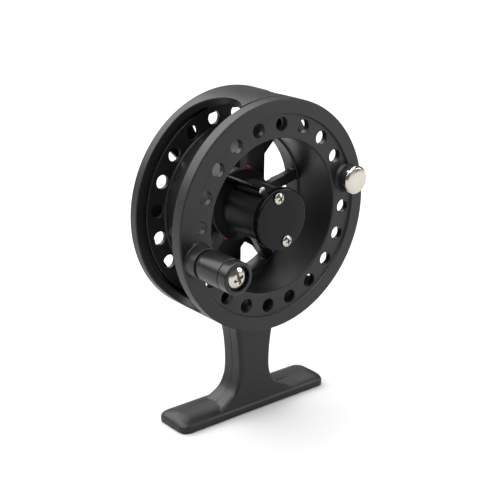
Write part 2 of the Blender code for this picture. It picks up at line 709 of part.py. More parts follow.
def make_click_knob():
    """Turning knob behind the frame, with a finger bar, and its cam inside the frame."""
    kx, kz = KNOB_PIVOT
    profile = [
        (0, PLATE_FRONT - CLEARANCE),
        (KNOB_SHAFT_RADIUS, PLATE_FRONT - CLEARANCE),
        (KNOB_SHAFT_RADIUS, KNOB_FRONT),
        (CLICK_KNOB_RADIUS, KNOB_FRONT),
        (CLICK_KNOB_RADIUS, KNOB_FRONT + 0.0008),
        (CLICK_KNOB_RADIUS - 0.0003, KNOB_FRONT + 0.0011),
        (0, KNOB_FRONT + 0.0011),
    ]
    knob = turned("click_knob", profile, black_abs, centre=KNOB_PIVOT, segments=24)
    shape = bmesh.new()
    half_long = CLICK_KNOB_RADIUS - 0.0004
    half_wide = 0.0009
    outline = []
    for x, z in ((-1, -1), (1, -1), (1, 1), (-1, 1)):
        outline.append((kx + x * half_long, kz + z * half_wide))
    add_prism(shape, outline, KNOB_FRONT + 0.0005, KNOB_FRONT + KNOB_HEIGHT)
    combine(knob, add_object("knob_bar_guide", shape, black_abs, AXIS.copy()), "UNION")
    cam = bmesh.new()
    cam_radius = 0.0019
    cam_back = PLATE_FRONT - 2 * CLEARANCE
    outline = arc(math.radians(110), math.radians(360), cam_radius, 12, centre=KNOB_PIVOT)
    outline += arc(math.radians(20), math.radians(90), cam_radius + 0.0004, 5, centre=KNOB_PIVOT)
    add_prism(cam, outline, PAWL_FRONT, cam_back)
    add_object("click_cam", cam, acetal, world(kx, cam_back, kz))


# ---------------------------------------------------------------- frame
def bridge_half_angle(waist, depth):
    """Half the angle that a bridge wall spans: its side edges curve in to a waist and out again."""
    if depth < BRIDGE_WAIST_DEPTH:
        share = (BRIDGE_WAIST_DEPTH - depth) / (BRIDGE_WAIST_DEPTH - RIM_THICKNESS)
        return waist + BRIDGE_FRONT_FLARE * share ** 2
    share = min(1.0, (depth - BRIDGE_WAIST_DEPTH) / (RING_FRONT + 0.0004 - BRIDGE_WAIST_DEPTH))
    return waist + BRIDGE_ROOT_FLARE * (1 - math.sqrt(1 - share ** 2))


def add_bridge(shape, middle, waist, columns):
    """Curved wall that carries the ring's outside forward to just behind the rim."""
    front = RIM_THICKNESS + CLEARANCE + 0.00005
    root = RING_FRONT + 0.0004
    outer_radius = RIM_RADIUS - BRIDGE_INSET
    depths = [front]
    for index in range(1, 4):
        depths.append(front + (BRIDGE_WAIST_DEPTH - front) * index / 3)
    for index in range(1, 7):
        share = math.sin(math.pi / 2 * index / 6)
        depths.append(BRIDGE_WAIST_DEPTH + (root - BRIDGE_WAIST_DEPTH) * share)
    depths.append(REEL_DEPTH - RING_THICKNESS / 3)
    layers = []
    for radius in (outer_radius - BRIDGE_WALL, outer_radius):
        grid = []
        for depth in depths:
            half = bridge_half_angle(waist, depth)
            row = []
            for index in range(columns + 1):
                x, z = place(middle - half + 2 * half * index / columns, radius)
                row.append(shape.verts.new(world(x, depth, z)))
            grid.append(row)
        layers.append(grid)
    inner, outer = layers
    last = len(depths) - 1
    for a in range(last):
        for b in range(columns):
            for grid in layers:
                shape.faces.new((grid[a][b], grid[a][b + 1], grid[a + 1][b + 1], grid[a + 1][b]))
        for b in (0, columns):
            shape.faces.new((inner[a][b], outer[a][b], outer[a + 1][b], inner[a + 1][b]))
    for b in range(columns):
        for a in (0, last):
            shape.faces.new((inner[a][b], inner[a][b + 1], outer[a][b + 1], outer[a][b]))


def rounded_section(half_x, half_y, corner, middle_y=0.0, steps=3):
    """Rounded rectangle, as x, y points."""
    corner = min(corner, half_x * 0.95, half_y * 0.95)
    points = []
    for quadrant in range(4):
        sign_x = 1 if quadrant in (0, 3) else -1
        sign_y = 1 if quadrant in (0, 1) else -1
        middle = (sign_x * (half_x - corner), sign_y * (half_y - corner))
        for index in range(steps + 1):
            angle = math.tau / 4 * (quadrant + index / steps)
            dx, dy = place(angle, corner)
            points.append((middle[0] + dx, middle[1] + dy + middle_y))
    return points


def add_loft(shape, sections):
    """Skin a stack of (height, x, y points) sections."""
    loops = []
    for height, points in sections:
        loops.append([shape.verts.new((x, y, height)) for x, y in points])
    count = len(loops[0])
    for near, far in zip(loops, loops[1:]):
        for a in range(count):
            b = (a + 1) % count
            shape.faces.new((near[a], near[b], far[b], far[a]))
    shape.faces.new(loops[0][::-1])
    shape.faces.new(loops[-1])


def make_stem():
    """Waisted stem that flares into the foot below and the bridge wall above."""
    foot_top = FOOT_THICKNESS - 0.0004
    top = AXIS_HEIGHT - RIM_RADIUS + BRIDGE_WALL * 0.6
    waist = STEM_WAIST_WIDTH / 2
    sections = []
    fillet_steps = 5
    for index in range(fillet_steps + 1):
        angle = math.pi / 2 * index / fillet_steps
        half = waist + FOOT_FILLET * (1 - math.sin(angle))
        depth = STEM_THICKNESS / 2 + 0.0006 * (1 - math.sin(angle))
        height = foot_top + FOOT_FILLET * (1 - math.cos(angle))
        sections.append((height, rounded_section(half, depth, STEM_CORNER, STEM_Y)))
    rise_steps = 6
    start = foot_top + FOOT_FILLET
    for index in range(1, rise_steps + 1):
        share = index / rise_steps
        half = waist + (STEM_TOP_WIDTH / 2 - waist) * share ** 2
        depth = STEM_THICKNESS / 2 + 0.0010 * share ** 3
        height = start + (top - start) * share
        sections.append((height, rounded_section(half, depth, STEM_CORNER, STEM_Y)))
    shape = bmesh.new()
    add_loft(shape, sections)
    return add_object("stem_guide", shape, black_abs, Vector((0, 0, 0)))


def make_foot():
    half_x = FOOT_LENGTH / 2
    half_y = FOOT_WIDTH / 2
    edge = 0.0004
    corner = FOOT_CORNER
    sections = [
        (0.0, rounded_section(half_x - edge, half_y - edge, corner - edge)),
        (edge, rounded_section(half_x, half_y, corner)),
        (FOOT_THICKNESS * 0.55, rounded_section(half_x, half_y, corner)),
        (FOOT_THICKNESS * 0.85, rounded_section(half_x - 0.0006, half_y - 0.0005, corner)),
        (FOOT_THICKNESS, rounded_section(half_x - 0.0016, half_y - 0.0014, corner - 0.0014)),
    ]
    shape = bmesh.new()
    add_loft(shape, sections)
    return add_object("foot_guide", shape, black_abs, Vector((0, 0, 0)))


def frame_windows():
    """Openings of the back plate, the same on the left and the right."""
    plate = HUB_PLATE_HALF
    outer = WINDOW_OUTER_RADIUS
    front = PLATE_FRONT - 0.001
    back = REEL_DEPTH + 0.001
    rib_top = math.radians(10)
    rib_bottom = math.radians(-4)
    lower_start = math.radians(-52)
    lower_end = -math.acos(FOOT_STRUT_HALF / outer)
    top_start = math.radians(62)
    shape = bmesh.new()
    for sign in (1, -1):
        side = [(plate, -plate + WINDOW_CORNER), (plate, plate - WINDOW_CORNER)]
        side += arc(SIDE_WINDOW_ANGLE, rib_top, outer, 6)
        side += [SIDE_RIB_TIP]
        side += arc(rib_bottom, -SIDE_WINDOW_ANGLE, outer, 6)
        lower = [*LOWER_WINDOW_CORNERS, *arc(lower_start, lower_end, outer, 5)]
        for outline in (side, lower):
            add_prism(shape, [(sign * x, z) for x, z in outline], front, back)
    top_edge = plate + 0.0006
    top = arc(top_start, math.pi - top_start, outer, 8)
    top += [(-TOP_STRUT_HALF, top_edge), (TOP_STRUT_HALF, top_edge)]
    add_prism(shape, top, front, back)
    return add_object("frame_window_guide", shape, black_abs, AXIS.copy())


def make_frame():
    edge = 0.0003
    plate_lip = RING_INNER_RADIUS
    profile = [
        (plate_lip, RING_FRONT + edge),
        (plate_lip + edge, RING_FRONT),
        (RIM_RADIUS - edge, RING_FRONT),
        (RIM_RADIUS, RING_FRONT + edge),
        (RIM_RADIUS, REEL_DEPTH - edge),
        (RIM_RADIUS - edge, REEL_DEPTH),
        (FRAME_BOSS_RADIUS + 0.0004, REEL_DEPTH),
        (FRAME_BOSS_RADIUS, FRAME_BOSS_BACK),
        (BUSH_BORE_RADIUS, FRAME_BOSS_BACK),
        (BUSH_BORE_RADIUS, PLATE_FRONT),
        (plate_lip, PLATE_FRONT),
    ]
    frame = turned("frame", profile, black_abs, segments=64)
    combine(frame, frame_windows(), "DIFFERENCE")
    bridges = bmesh.new()
    add_bridge(bridges, math.pi / 2, TOP_BRIDGE_HALF_ANGLE, 7)
    combine(frame, add_object("top_bridge_guide", bridges, black_abs, AXIS.copy()), "UNION")
    bridges = bmesh.new()
    add_bridge(bridges, -math.pi / 2, FOOT_BRIDGE_HALF_ANGLE, 17)
    combine(frame, add_object("foot_bridge_guide", bridges, black_abs, AXIS.copy()), "UNION")
    combine(frame, make_stem(), "UNION")
    combine(frame, make_foot(), "UNION")
    bores = bmesh.new()
    pin_bore = rod(PAWL_PIN_RADIUS + CLEARANCE, PLATE_FRONT - 0.001, REEL_DEPTH + 0.001)
    add_turned(bores, pin_bore, PAWL_PIVOT, 12)
    shaft_bore = rod(KNOB_SHAFT_RADIUS + CLEARANCE, PLATE_FRONT - 0.001, REEL_DEPTH + 0.001)
    add_turned(bores, shaft_bore, KNOB_PIVOT, 12)
    combine(frame, add_object("frame_bore_guide", bores, black_abs, AXIS.copy()), "DIFFERENCE")


# ---------------------------------------------------------------- build
clear_scene()
black_abs = finish("black ABS", (0.030, 0.031, 0.033), 0.45)
gloss_abs = finish("polished black ABS", (0.016, 0.016, 0.018), 0.12)
red_acetal = finish("red acetal", (0.42, 0.010, 0.030), 0.35)
acetal = finish("white acetal", (0.72, 0.72, 0.68), 0.40)
steel = finish("stainless steel", (0.60, 0.60, 0.58), 0.25, 1.0)
nickel = finish("nickel plate", (0.70, 0.66, 0.58), 0.18, 1.0)
bronze = finish("oiled bronze", (0.43, 0.25, 0.11), 0.40, 1.0)
brass = finish("brass", (0.66, 0.47, 0.18), 0.30, 1.0)

make_frame()
make_spool()
make_bushes()
make_spindle()
make_spindle_fittings()
make_nut()
make_cap()
make_cap_screws()
make_hub_pin()
make_handle()
make_counterweight()
make_click_gear()
make_click()
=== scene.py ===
# %% [markdown]
# # A small fly reel
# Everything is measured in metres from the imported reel: the origin is under the foot, the spool turns about
# an axis parallel to Y, and its handle faces -Y. Depth is the distance behind the spool's front rim.

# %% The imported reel
import json
import math

import bmesh
import bpy
from mathutils import Matrix, Vector


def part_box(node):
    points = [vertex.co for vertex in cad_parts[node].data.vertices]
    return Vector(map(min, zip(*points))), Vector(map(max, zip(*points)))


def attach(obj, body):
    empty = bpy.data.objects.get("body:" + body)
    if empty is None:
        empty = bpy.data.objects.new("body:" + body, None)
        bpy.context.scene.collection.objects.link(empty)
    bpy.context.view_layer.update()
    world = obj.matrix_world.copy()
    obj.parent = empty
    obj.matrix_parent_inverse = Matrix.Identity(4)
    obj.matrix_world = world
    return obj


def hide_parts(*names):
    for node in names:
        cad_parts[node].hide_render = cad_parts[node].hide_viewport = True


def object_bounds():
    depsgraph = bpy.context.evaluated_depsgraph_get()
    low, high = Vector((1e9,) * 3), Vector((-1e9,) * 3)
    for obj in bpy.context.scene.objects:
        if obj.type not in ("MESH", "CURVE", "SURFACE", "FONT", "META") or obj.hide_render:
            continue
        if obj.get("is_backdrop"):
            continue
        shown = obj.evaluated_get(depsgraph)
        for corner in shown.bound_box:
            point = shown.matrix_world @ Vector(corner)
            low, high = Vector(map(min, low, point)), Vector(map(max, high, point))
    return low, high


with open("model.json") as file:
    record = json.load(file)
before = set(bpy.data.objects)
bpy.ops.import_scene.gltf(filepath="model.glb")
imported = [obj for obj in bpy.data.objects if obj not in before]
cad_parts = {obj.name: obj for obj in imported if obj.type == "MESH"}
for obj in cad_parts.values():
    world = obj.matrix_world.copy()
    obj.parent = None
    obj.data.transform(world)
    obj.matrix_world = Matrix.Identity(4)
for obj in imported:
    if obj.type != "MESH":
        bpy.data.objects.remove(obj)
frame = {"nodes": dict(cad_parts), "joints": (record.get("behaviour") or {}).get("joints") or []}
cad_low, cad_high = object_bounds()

MM = 0.001
joints = {joint["name"]: joint for joint in frame["joints"]}
AXIS_Z = joints["spool_spin"]["pos_m"][2]
CAP_GAP = 0.3 * MM
FRONT_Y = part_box("hub_cap")[1].y + CAP_GAP
RIM = (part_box("frame")[1].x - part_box("frame")[0].x) / 2
RING_BACK = 20.8 * MM
print("axis height", AXIS_Z, "front rim at", round(FRONT_Y, 5), "rim radius", round(RIM, 5))


# %% [markdown]
# ## Tools
# A moulded piece is a turned or lofted shape with small rounded edges, then openings cut into it. The edge of
# each opening is rounded too, so a cutter grows outwards by the edge's radius where it leaves the surface.

# %% Places and outlines
def at(x, depth, z):
    return Vector((x, FRONT_Y + depth, AXIS_Z + z))


def polar(angle, radius):
    return (radius * math.cos(angle), radius * math.sin(angle))


def circle(radius, count, centre=(0.0, 0.0)):
    points = []
    for index in range(count):
        x, z = polar(math.tau * index / count, radius)
        points.append((centre[0] + x, centre[1] + z))
    return points


def filleted(corners, steps=5):
    """Points of a closed outline from (x, y, radius) corners, each rounded to its radius."""
    points = []
    for index, (x, y, radius) in enumerate(corners):
        if radius == 0:
            points.append((x, y))
            continue
        here = Vector((x, y))
        before = Vector(corners[index - 1][:2]) - here
        after = Vector(corners[(index + 1) % len(corners)][:2]) - here
        half = before.angle(after) / 2
        if math.pi / 2 - half < 0.01:
            points.append((x, y))
            continue
        radius = min(radius, 0.48 * min(before.length, after.length) * math.tan(half))
        before.normalize()
        after.normalize()
        middle = here + (before + after).normalized() * (radius / math.sin(half))
        first = (here + before * (radius / math.tan(half)) - middle) / radius
        last = (here + after * (radius / math.tan(half)) - middle) / radius
        turn = math.pi - 2 * half
        for step in range(steps + 1):
            share = step / steps
            way = first * math.sin((1 - share) * turn) + last * math.sin(share * turn)
            point = middle + way * (radius / math.sin(turn))
            points.append((point.x, point.y))
    return points


def grown(points, distance):
    """The same closed outline moved outwards by a distance."""
    area = 0.0
    for index, (x, y) in enumerate(points):
        next_x, next_y = points[(index + 1) % len(points)]
        area += x * next_y - next_x * y
    side = 1.0 if area > 0 else -1.0
    moved = []
    for index, point in enumerate(points):
        here = Vector(point)
        one = (here - Vector(points[index - 1])).normalized()
        two = (Vector(points[(index + 1) % len(points)]) - here).normalized()
        normal = Vector((one.y + two.y, -one.x - two.x)).normalized() * side
        stretch = 1 / max(0.5, abs(normal.dot(Vector((one.y, -one.x)))))
        moved.append(tuple(here + normal * distance * stretch))
    return moved


def rounded_edges(front, back, edge, over, steps=4):
    """(level, growth) steps of a cutter that leaves a rounded edge on both faces it goes through."""
    near = []
    far = []
    for step in range(steps + 1):
        turn = math.pi / 2 * step / steps
        near.append((front + edge * (1 - math.cos(turn)), edge * (1 - math.sin(turn))))
        far.append((back - edge * (1 - math.cos(turn)), edge * (1 - math.sin(turn))))
    return [(front - over, edge), *near, *far[::-1], (back + over, edge)]


print("levels of a cutter:", len(rounded_edges(0.0, 1.0, 0.1, 0.1)))


# %% [markdown]
# Every solid is a skin of quads over loops of points: round loops for a turned piece, any outline for a
# cutter. Doubles are merged first and the normals are recalculated after, so that each skin is closed and
# faces outwards before it meets a Boolean. The last function evens out the shading with weighted normals,
# which keeps flats flat beside a small rounded edge.

# %% Solids
def make_object(name, shape, smooth_angle=40):
    bmesh.ops.remove_doubles(shape, verts=shape.verts, dist=1e-8)
    bmesh.ops.recalc_face_normals(shape, faces=shape.faces)
    mesh = bpy.data.meshes.new(name)
    shape.to_mesh(mesh)
    shape.free()
    mesh.shade_smooth()
    mesh.set_sharp_from_angle(angle=math.radians(smooth_angle))
    made = bpy.data.objects.new(name, mesh)
    bpy.context.scene.collection.objects.link(made)
    return made


def bands(shape, rows):
    """Join each row of vertices to the next by quads."""
    for near, far in zip(rows, rows[1:]):
        for a in range(len(near)):
            b = (a + 1) % len(near)
            shape.faces.new((near[a], near[b], far[b], far[a]))


def skin(shape, loops, ends=True):
    """Join loops of points into a closed skin."""
    rows = [[shape.verts.new(point) for point in loop] for loop in loops]
    bands(shape, rows)
    if ends:
        shape.faces.new(rows[0][::-1])
        shape.faces.new(rows[-1])
    else:
        bands(shape, [rows[-1], rows[0]])


def turn_into(shape, outline, segments, centre=(0.0, 0.0)):
    """Turn (radius, depth) points about an axis parallel to Y: a closed outline, or one between two poles."""
    poles = outline[0][0] == 0
    inner = outline[1:-1] if poles else outline
    loops = []
    for radius, depth in inner:
        loops.append([at(x, depth, z) for x, z in circle(radius, segments, centre)])
    if not poles:
        skin(shape, loops, ends=False)
        return
    rows = [[shape.verts.new(point) for point in loop] for loop in loops]
    bands(shape, rows)
    for pole, row in ((outline[0], rows[0]), (outline[-1], rows[-1])):
        tip = shape.verts.new(at(centre[0], pole[1], centre[1]))
        for a in range(segments):
            shape.faces.new((tip, row[a], row[(a + 1) % segments]))


def turned(name, outline, segments=96, centre=(0.0, 0.0)):
    shape = bmesh.new()
    turn_into(shape, outline, segments, centre)
    return make_object(name, shape)


def cutter(name, outline, levels, put):
    """A cutter whose outline grows as it leaves each face; put(a, b, level) places a point."""
    shape = bmesh.new()
    skin(shape, [[put(a, b, level) for a, b in grown(outline, growth)] for level, growth in levels])
    return make_object(name, shape)


def plain(made):
    """Replace an object's mesh by what its modifiers make of it."""
    seen = made.evaluated_get(bpy.context.evaluated_depsgraph_get())
    mesh = bpy.data.meshes.new_from_object(seen)
    made.modifiers.clear()
    made.data = mesh


def combine(made, guides, operation, solver="EXACT"):
    for guide in guides:
        step = made.modifiers.new(guide.name, "BOOLEAN")
        step.operation = operation
        step.solver = solver
        step.object = guide
    plain(made)
    for guide in guides:
        bpy.data.objects.remove(guide, do_unlink=True)


EDGE_WEIGHT = 80      # how far a large face outweighs a small one in the shading, in per cent


def finish_mesh(made, look, body, *nodes, smooth_angle=32):
    """Even out the shading, give the piece its finish and hand it to its body."""
    mesh = made.data
    mesh.shade_smooth()
    mesh.set_sharp_from_angle(angle=math.radians(smooth_angle))
    weigh = made.modifiers.new("even flats", "WEIGHTED_NORMAL")
    weigh.keep_sharp = True
    weigh.weight = EDGE_WEIGHT
    plain(made)
    made.data.materials.clear()
    made.data.materials.append(look)
    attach(made, body)
    if nodes:
        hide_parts(*nodes)
    print(made.name, len(made.data.polygons), "faces")


# %% [markdown]
# ## Holes, windows and teeth that repeat round the axis
# The mould maker divides the circle once and repeats the same cutter. The node tree does that: it sets a
# cutter on a circle of points, turns each one to face outwards, leaves out every so-many-th place, and takes
# the lot from the body.

# %% The dividing-head tree
def add(tree, kind, values=None, **settings):
    """Add a node, with its settings, and its inputs as values or as the sockets they are linked from."""
    made = tree.nodes.new(kind)
    for key, value in settings.items():
        setattr(made, key, value)
    for key, value in (values or {}).items():
        if isinstance(value, bpy.types.NodeSocket):
            tree.links.new(value, made.inputs[key])
        else:
            made.inputs[key].default_value = value
    return made


def dividing_tree():
    tree = bpy.data.node_groups.new("cut round an axis", "GeometryNodeTree")
    face = tree.interface
    face.new_socket("Body", in_out="INPUT", socket_type="NodeSocketGeometry")
    face.new_socket("Cutter", in_out="INPUT", socket_type="NodeSocketObject")
    face.new_socket("Count", in_out="INPUT", socket_type="NodeSocketInt")
    face.new_socket("Radius", in_out="INPUT", socket_type="NodeSocketFloat")
    face.new_socket("First angle", in_out="INPUT", socket_type="NodeSocketFloat")
    face.new_socket("Leave out every", in_out="INPUT", socket_type="NodeSocketInt")
    face.new_socket("Axis height", in_out="INPUT", socket_type="NodeSocketFloat")
    face.new_socket("Finish", in_out="INPUT", socket_type="NodeSocketMaterial")
    face.new_socket("Body", in_out="OUTPUT", socket_type="NodeSocketGeometry")
    given = tree.nodes.new("NodeGroupInput").outputs
    points = add(tree, "GeometryNodeMeshLine", {"Count": given["Count"], "Offset": (0, 0, 0)})
    index = add(tree, "GeometryNodeInputIndex").outputs[0]
    step = add(tree, "ShaderNodeMath", {0: math.tau, 1: given["Count"]}, operation="DIVIDE").outputs[0]
    turn = add(tree, "ShaderNodeMath", {0: index, 1: step, 2: given["First angle"]},
               operation="MULTIPLY_ADD").outputs[0]
    cosine = add(tree, "ShaderNodeMath", {0: turn}, operation="COSINE").outputs[0]
    sine = add(tree, "ShaderNodeMath", {0: turn}, operation="SINE").outputs[0]
    x = add(tree, "ShaderNodeMath", {0: cosine, 1: given["Radius"]}, operation="MULTIPLY").outputs[0]
    z = add(tree, "ShaderNodeMath", {0: sine, 1: given["Radius"], 2: given["Axis height"]},
            operation="MULTIPLY_ADD").outputs[0]
    place = add(tree, "ShaderNodeCombineXYZ", {"X": x, "Z": z}).outputs[0]
    placed = add(tree, "GeometryNodeSetPosition", {"Geometry": points.outputs[0], "Position": place})
    every = given["Leave out every"]
    remainder = add(tree, "ShaderNodeMath", {0: index, 1: every}, operation="MODULO").outputs[0]
    wanted = add(tree, "ShaderNodeMath", {0: remainder, 1: 0.5}, operation="GREATER_THAN").outputs[0]
    all_kept = add(tree, "ShaderNodeMath", {0: every, 1: 0.5}, operation="LESS_THAN").outputs[0]
    kept = add(tree, "ShaderNodeMath", {0: wanted, 1: all_kept}, operation="MAXIMUM").outputs[0]
    back = add(tree, "ShaderNodeMath", {0: turn, 1: -1.0}, operation="MULTIPLY").outputs[0]
    facing = add(tree, "ShaderNodeCombineXYZ", {"Y": back}).outputs[0]
    one = add(tree, "GeometryNodeObjectInfo", {"Object": given["Cutter"]})
    ring = add(tree, "GeometryNodeInstanceOnPoints", {
        "Points": placed.outputs[0], "Instance": one.outputs["Geometry"], "Rotation": facing,
        "Selection": kept})
    solid = add(tree, "GeometryNodeRealizeInstances", {0: ring.outputs[0]})
    cut = add(tree, "GeometryNodeMeshBoolean", operation="DIFFERENCE", solver="EXACT")
    tree.links.new(given["Body"], cut.inputs["Mesh 1"])
    tree.links.new(solid.outputs[0], cut.inputs["Mesh 2"])
    whole = add(tree, "GeometryNodeRealizeInstances", {0: cut.outputs["Mesh"]})
    dressed = add(tree, "GeometryNodeSetMaterial", {
        "Geometry": whole.outputs[0], "Material": given["Finish"]})
    out = tree.nodes.new("NodeGroupOutput")
    tree.links.new(dressed.outputs[0], out.inputs[0])
    return tree


DIVIDING = dividing_tree()
print("dividing tree:", len(DIVIDING.nodes), "nodes")


def divide(made, tool, look, count, radius, first, leave_out=0):
    """Cut a tool's shape out of a body at equal steps round the spool's axis; 0 leaves no place out."""
    step = made.modifiers.new("divide", "NODES")
    step.node_group = DIVIDING
    chosen = {
        "Cutter": tool, "Count": count, "Radius": radius, "First angle": first,
        "Leave out every": leave_out, "Axis height": AXIS_Z, "Finish": look}
    for item in DIVIDING.interface.items_tree:
        if item.in_out == "INPUT" and item.name in chosen:
            step[item.identifier] = chosen[item.name]
    plain(made)
    bpy.data.objects.remove(tool, do_unlink=True)


def around_origin(a, b, level):
    """Where a cutter that will be set round the axis keeps its points."""
    return Vector((a, FRONT_Y + level, b))


# %% [markdown]
# ## Finishes
# Colours are the sRGB values of the real finish, turned to linear light by one function. Each material has
# slow variation over some millimetres, where hands have polished it, and a fine bump at the size of its
# making marks. Both are measured in metres of the piece itself, so they stay in place when the piece turns.

# %% Colours and an empty material
def srgb(code):
    values = []
    for start in (1, 3, 5):
        value = int(code[start:start + 2], 16) / 255
        values.append(value / 12.92 if value <= 0.04045 else ((value + 0.055) / 1.055) ** 2.4)
    return (*values, 1.0)


def new_material(name):
    made = bpy.data.materials.new(name)
    made.use_nodes = True
    made.node_tree.nodes.clear()
    return made, made.node_tree


MIX_FACTOR, MIX_DARK, MIX_LIGHT, MIX_COLOUR = 0, 6, 7, 2      # sockets of a colour Mix node
NOISE_LOW, NOISE_HIGH = 0.3, 0.7                              # where most values of a noise lie
print("mid grey in linear light:", round(srgb("#808080")[0], 3))


# %% [markdown]
# ABS and acetal are moulded. A spark-eroded mould leaves grains of about a quarter of a millimetre: they
# scatter the highlight into broad soft bands and shade one another, so the satin ABS mirrors less than its
# index of 1.54 would. The polished moulds leave only a slow waviness, and the mirror-polished cap shows the
# room as a dark reflection with a sharp bright crescent.

# %% Moulded plastics
PLASTIC_INDEX = 1.54
HAND_PATCH = 9 * MM
SATIN_GLOSS, MIRROR_GLOSS = 0.3, 0.12
SPARK_GRAIN = 0.25 * MM


def moulded(name, dark, light, rough_low, rough_high, grain, depth, gloss=SATIN_GLOSS):
    made, tree = new_material(name)
    where = add(tree, "ShaderNodeTexCoord").outputs["Object"]
    patches = add(tree, "ShaderNodeTexNoise", {"Vector": where, "Scale": 1 / HAND_PATCH, "Detail": 2.0})
    patches = patches.outputs["Fac"]
    marks = add(tree, "ShaderNodeTexNoise", {
        "Vector": where, "Scale": 1 / grain, "Detail": 4.0}).outputs["Fac"]
    colour = add(tree, "ShaderNodeMix", {MIX_FACTOR: patches, MIX_DARK: srgb(dark), MIX_LIGHT: srgb(light)},
                 data_type="RGBA").outputs[MIX_COLOUR]
    rough = add(tree, "ShaderNodeMapRange", {
        "Value": patches, "From Min": NOISE_LOW, "From Max": NOISE_HIGH, "To Min": rough_low,
        "To Max": rough_high}).outputs["Result"]
    bump = add(tree, "ShaderNodeBump", {"Height": marks, "Strength": 0.6, "Distance": depth}).outputs[0]
    shader = add(tree, "ShaderNodeBsdfPrincipled", {
        "Base Color": colour, "Roughness": rough, "Normal": bump, "IOR": PLASTIC_INDEX,
        "Specular IOR Level": gloss})
    add(tree, "ShaderNodeOutputMaterial", {"Surface": shader.outputs[0]})
    return made


# Black with a broad soft sheen.
SATIN = moulded("satin ABS, spark-eroded mould", "#131415", "#18191a", 0.38, 0.48, SPARK_GRAIN, 0.006 * MM)
# Black with narrower, brighter bands, where the handle turns in the fingers.
BRIGHT = moulded("ABS, polished mould", "#101112", "#151617", 0.24, 0.32, 0.8 * MM, 0.003 * MM)
# The deepest black, a dark mirror.
GLOSSY = moulded("gloss ABS, mirror-polished mould", "#0b0c0d", "#0f1011", 0.06, 0.11, 3 * MM, 0.004 * MM,
                 MIRROR_GLOSS)
# Waxy crimson and off-white, the two colours that the click's pieces come in.
RED = moulded("red acetal, moulded", "#c8183c", "#d62346", 0.30, 0.38, 0.4 * MM, 0.004 * MM)
WHITE = moulded("white acetal, moulded", "#dcdad2", "#e6e4dc", 0.34, 0.42, 0.4 * MM, 0.004 * MM)
print("plastics:", len(bpy.data.materials))


# %% [markdown]
# A turned metal face carries rings at the tool's feed, drawn here as marks stretched across the axis. Nickel
# is plated on polished brass, so it only waves a little. Sintered bronze is grains of metal with oil between
# them. Each metal keeps the default index, since its colour already says how it mirrors.

# %% Metals
METAL_PATCH = 4 * MM
TOOL_FEED = 0.15 * MM
ALL_WAYS = (1.0, 1.0, 1.0)
ALONG_AXIS = (1.0, 6.0, 1.0)


def metal(name, dark, light, rough_low, rough_high, size, depth, stretch=ALL_WAYS):
    made, tree = new_material(name)
    where = add(tree, "ShaderNodeTexCoord").outputs["Object"]
    patches = add(tree, "ShaderNodeTexNoise", {"Vector": where, "Scale": 1 / METAL_PATCH, "Detail": 2.0})
    stretched = add(tree, "ShaderNodeMapping", {"Vector": where, "Scale": stretch}).outputs[0]
    marks = add(tree, "ShaderNodeTexNoise", {"Vector": stretched, "Scale": 1 / size, "Detail": 3.0})
    marks = marks.outputs["Fac"]
    colour = add(tree, "ShaderNodeMix", {
        MIX_FACTOR: patches.outputs["Fac"], MIX_DARK: srgb(dark), MIX_LIGHT: srgb(light)},
        data_type="RGBA").outputs[MIX_COLOUR]
    rough = add(tree, "ShaderNodeMapRange", {
        "Value": marks, "From Min": NOISE_LOW, "From Max": NOISE_HIGH, "To Min": rough_low,
        "To Max": rough_high}).outputs["Result"]
    bump = add(tree, "ShaderNodeBump", {"Height": marks, "Strength": 0.5, "Distance": depth}).outputs[0]
    shader = add(tree, "ShaderNodeBsdfPrincipled", {
        "Base Color": colour, "Metallic": 1.0, "Roughness": rough, "Normal": bump})
    add(tree, "ShaderNodeOutputMaterial", {"Surface": shader.outputs[0]})
    return made


# Warm white mirror, slightly blurred.
NICKEL = metal("bright nickel, plated on turned brass", "#b3afa5", "#bfbbb1", 0.14, 0.24, 1.5 * MM,
               0.004 * MM)
# Cool grey with a streaked highlight.
STEEL = metal("stainless steel, turned", "#c2c2be", "#cdcdca", 0.22, 0.32, TOOL_FEED, 0.003 * MM, ALONG_AXIS)
# Brown and grainy, dull with oil.
BRONZE = metal("oiled bronze, sintered", "#8a6238", "#9c7242", 0.38, 0.55, 0.12 * MM, 0.008 * MM)
# Nearly black, with a little yellow in the highlight.
DARK_BRASS = metal("brass, blackened", "#38332b", "#443d33", 0.38, 0.48, TOOL_FEED, 0.003 * MM, ALONG_AXIS)
# Yellow with turning rings.
BRASS = metal("brass, turned", "#c9a353", "#d6b263", 0.22, 0.34, TOOL_FEED, 0.003 * MM, ALONG_AXIS)


# %% [markdown]
# The pin beside the hub keeps the colour of bare steel only at its end. Its barrel is painted near-black as
# painted shade, so one bright disc shows at the end of a dark barrel. Depth along the axis tells the two
# apart.

# %% Pin with painted shade on its barrel
STEEL_END_DEPTH = 0.45 * MM
PIN_WITH_PAINTED_SHADE, pin_tree = new_material("steel pin, barrel darkened with painted shade")
where = add(pin_tree, "ShaderNodeTexCoord").outputs["Object"]
depth = add(pin_tree, "ShaderNodeSeparateXYZ", {"Vector": where}).outputs["Y"]
end = add(pin_tree, "ShaderNodeMath", {0: depth, 1: FRONT_Y + STEEL_END_DEPTH}, operation="LESS_THAN").outputs[0]
marks = add(pin_tree, "ShaderNodeTexNoise", {"Vector": where, "Scale": 1 / TOOL_FEED, "Detail": 3.0})
marks = marks.outputs["Fac"]
bump = add(pin_tree, "ShaderNodeBump", {"Height": marks, "Strength": 0.4, "Distance": 0.003 * MM}).outputs[0]
# painted shade: the barrel's near-black stands for the shade round the pin, and the end keeps the colour of
# bare steel
colour = add(pin_tree, "ShaderNodeMix", {
    MIX_FACTOR: end, MIX_DARK: srgb("#1d1c1b"), MIX_LIGHT: srgb("#c8c8c4")},
    data_type="RGBA").outputs[MIX_COLOUR]
rough = add(pin_tree, "ShaderNodeMapRange", {
    "Value": marks, "From Min": NOISE_LOW, "From Max": NOISE_HIGH, "To Min": 0.28,
    "To Max": 0.36}).outputs["Result"]
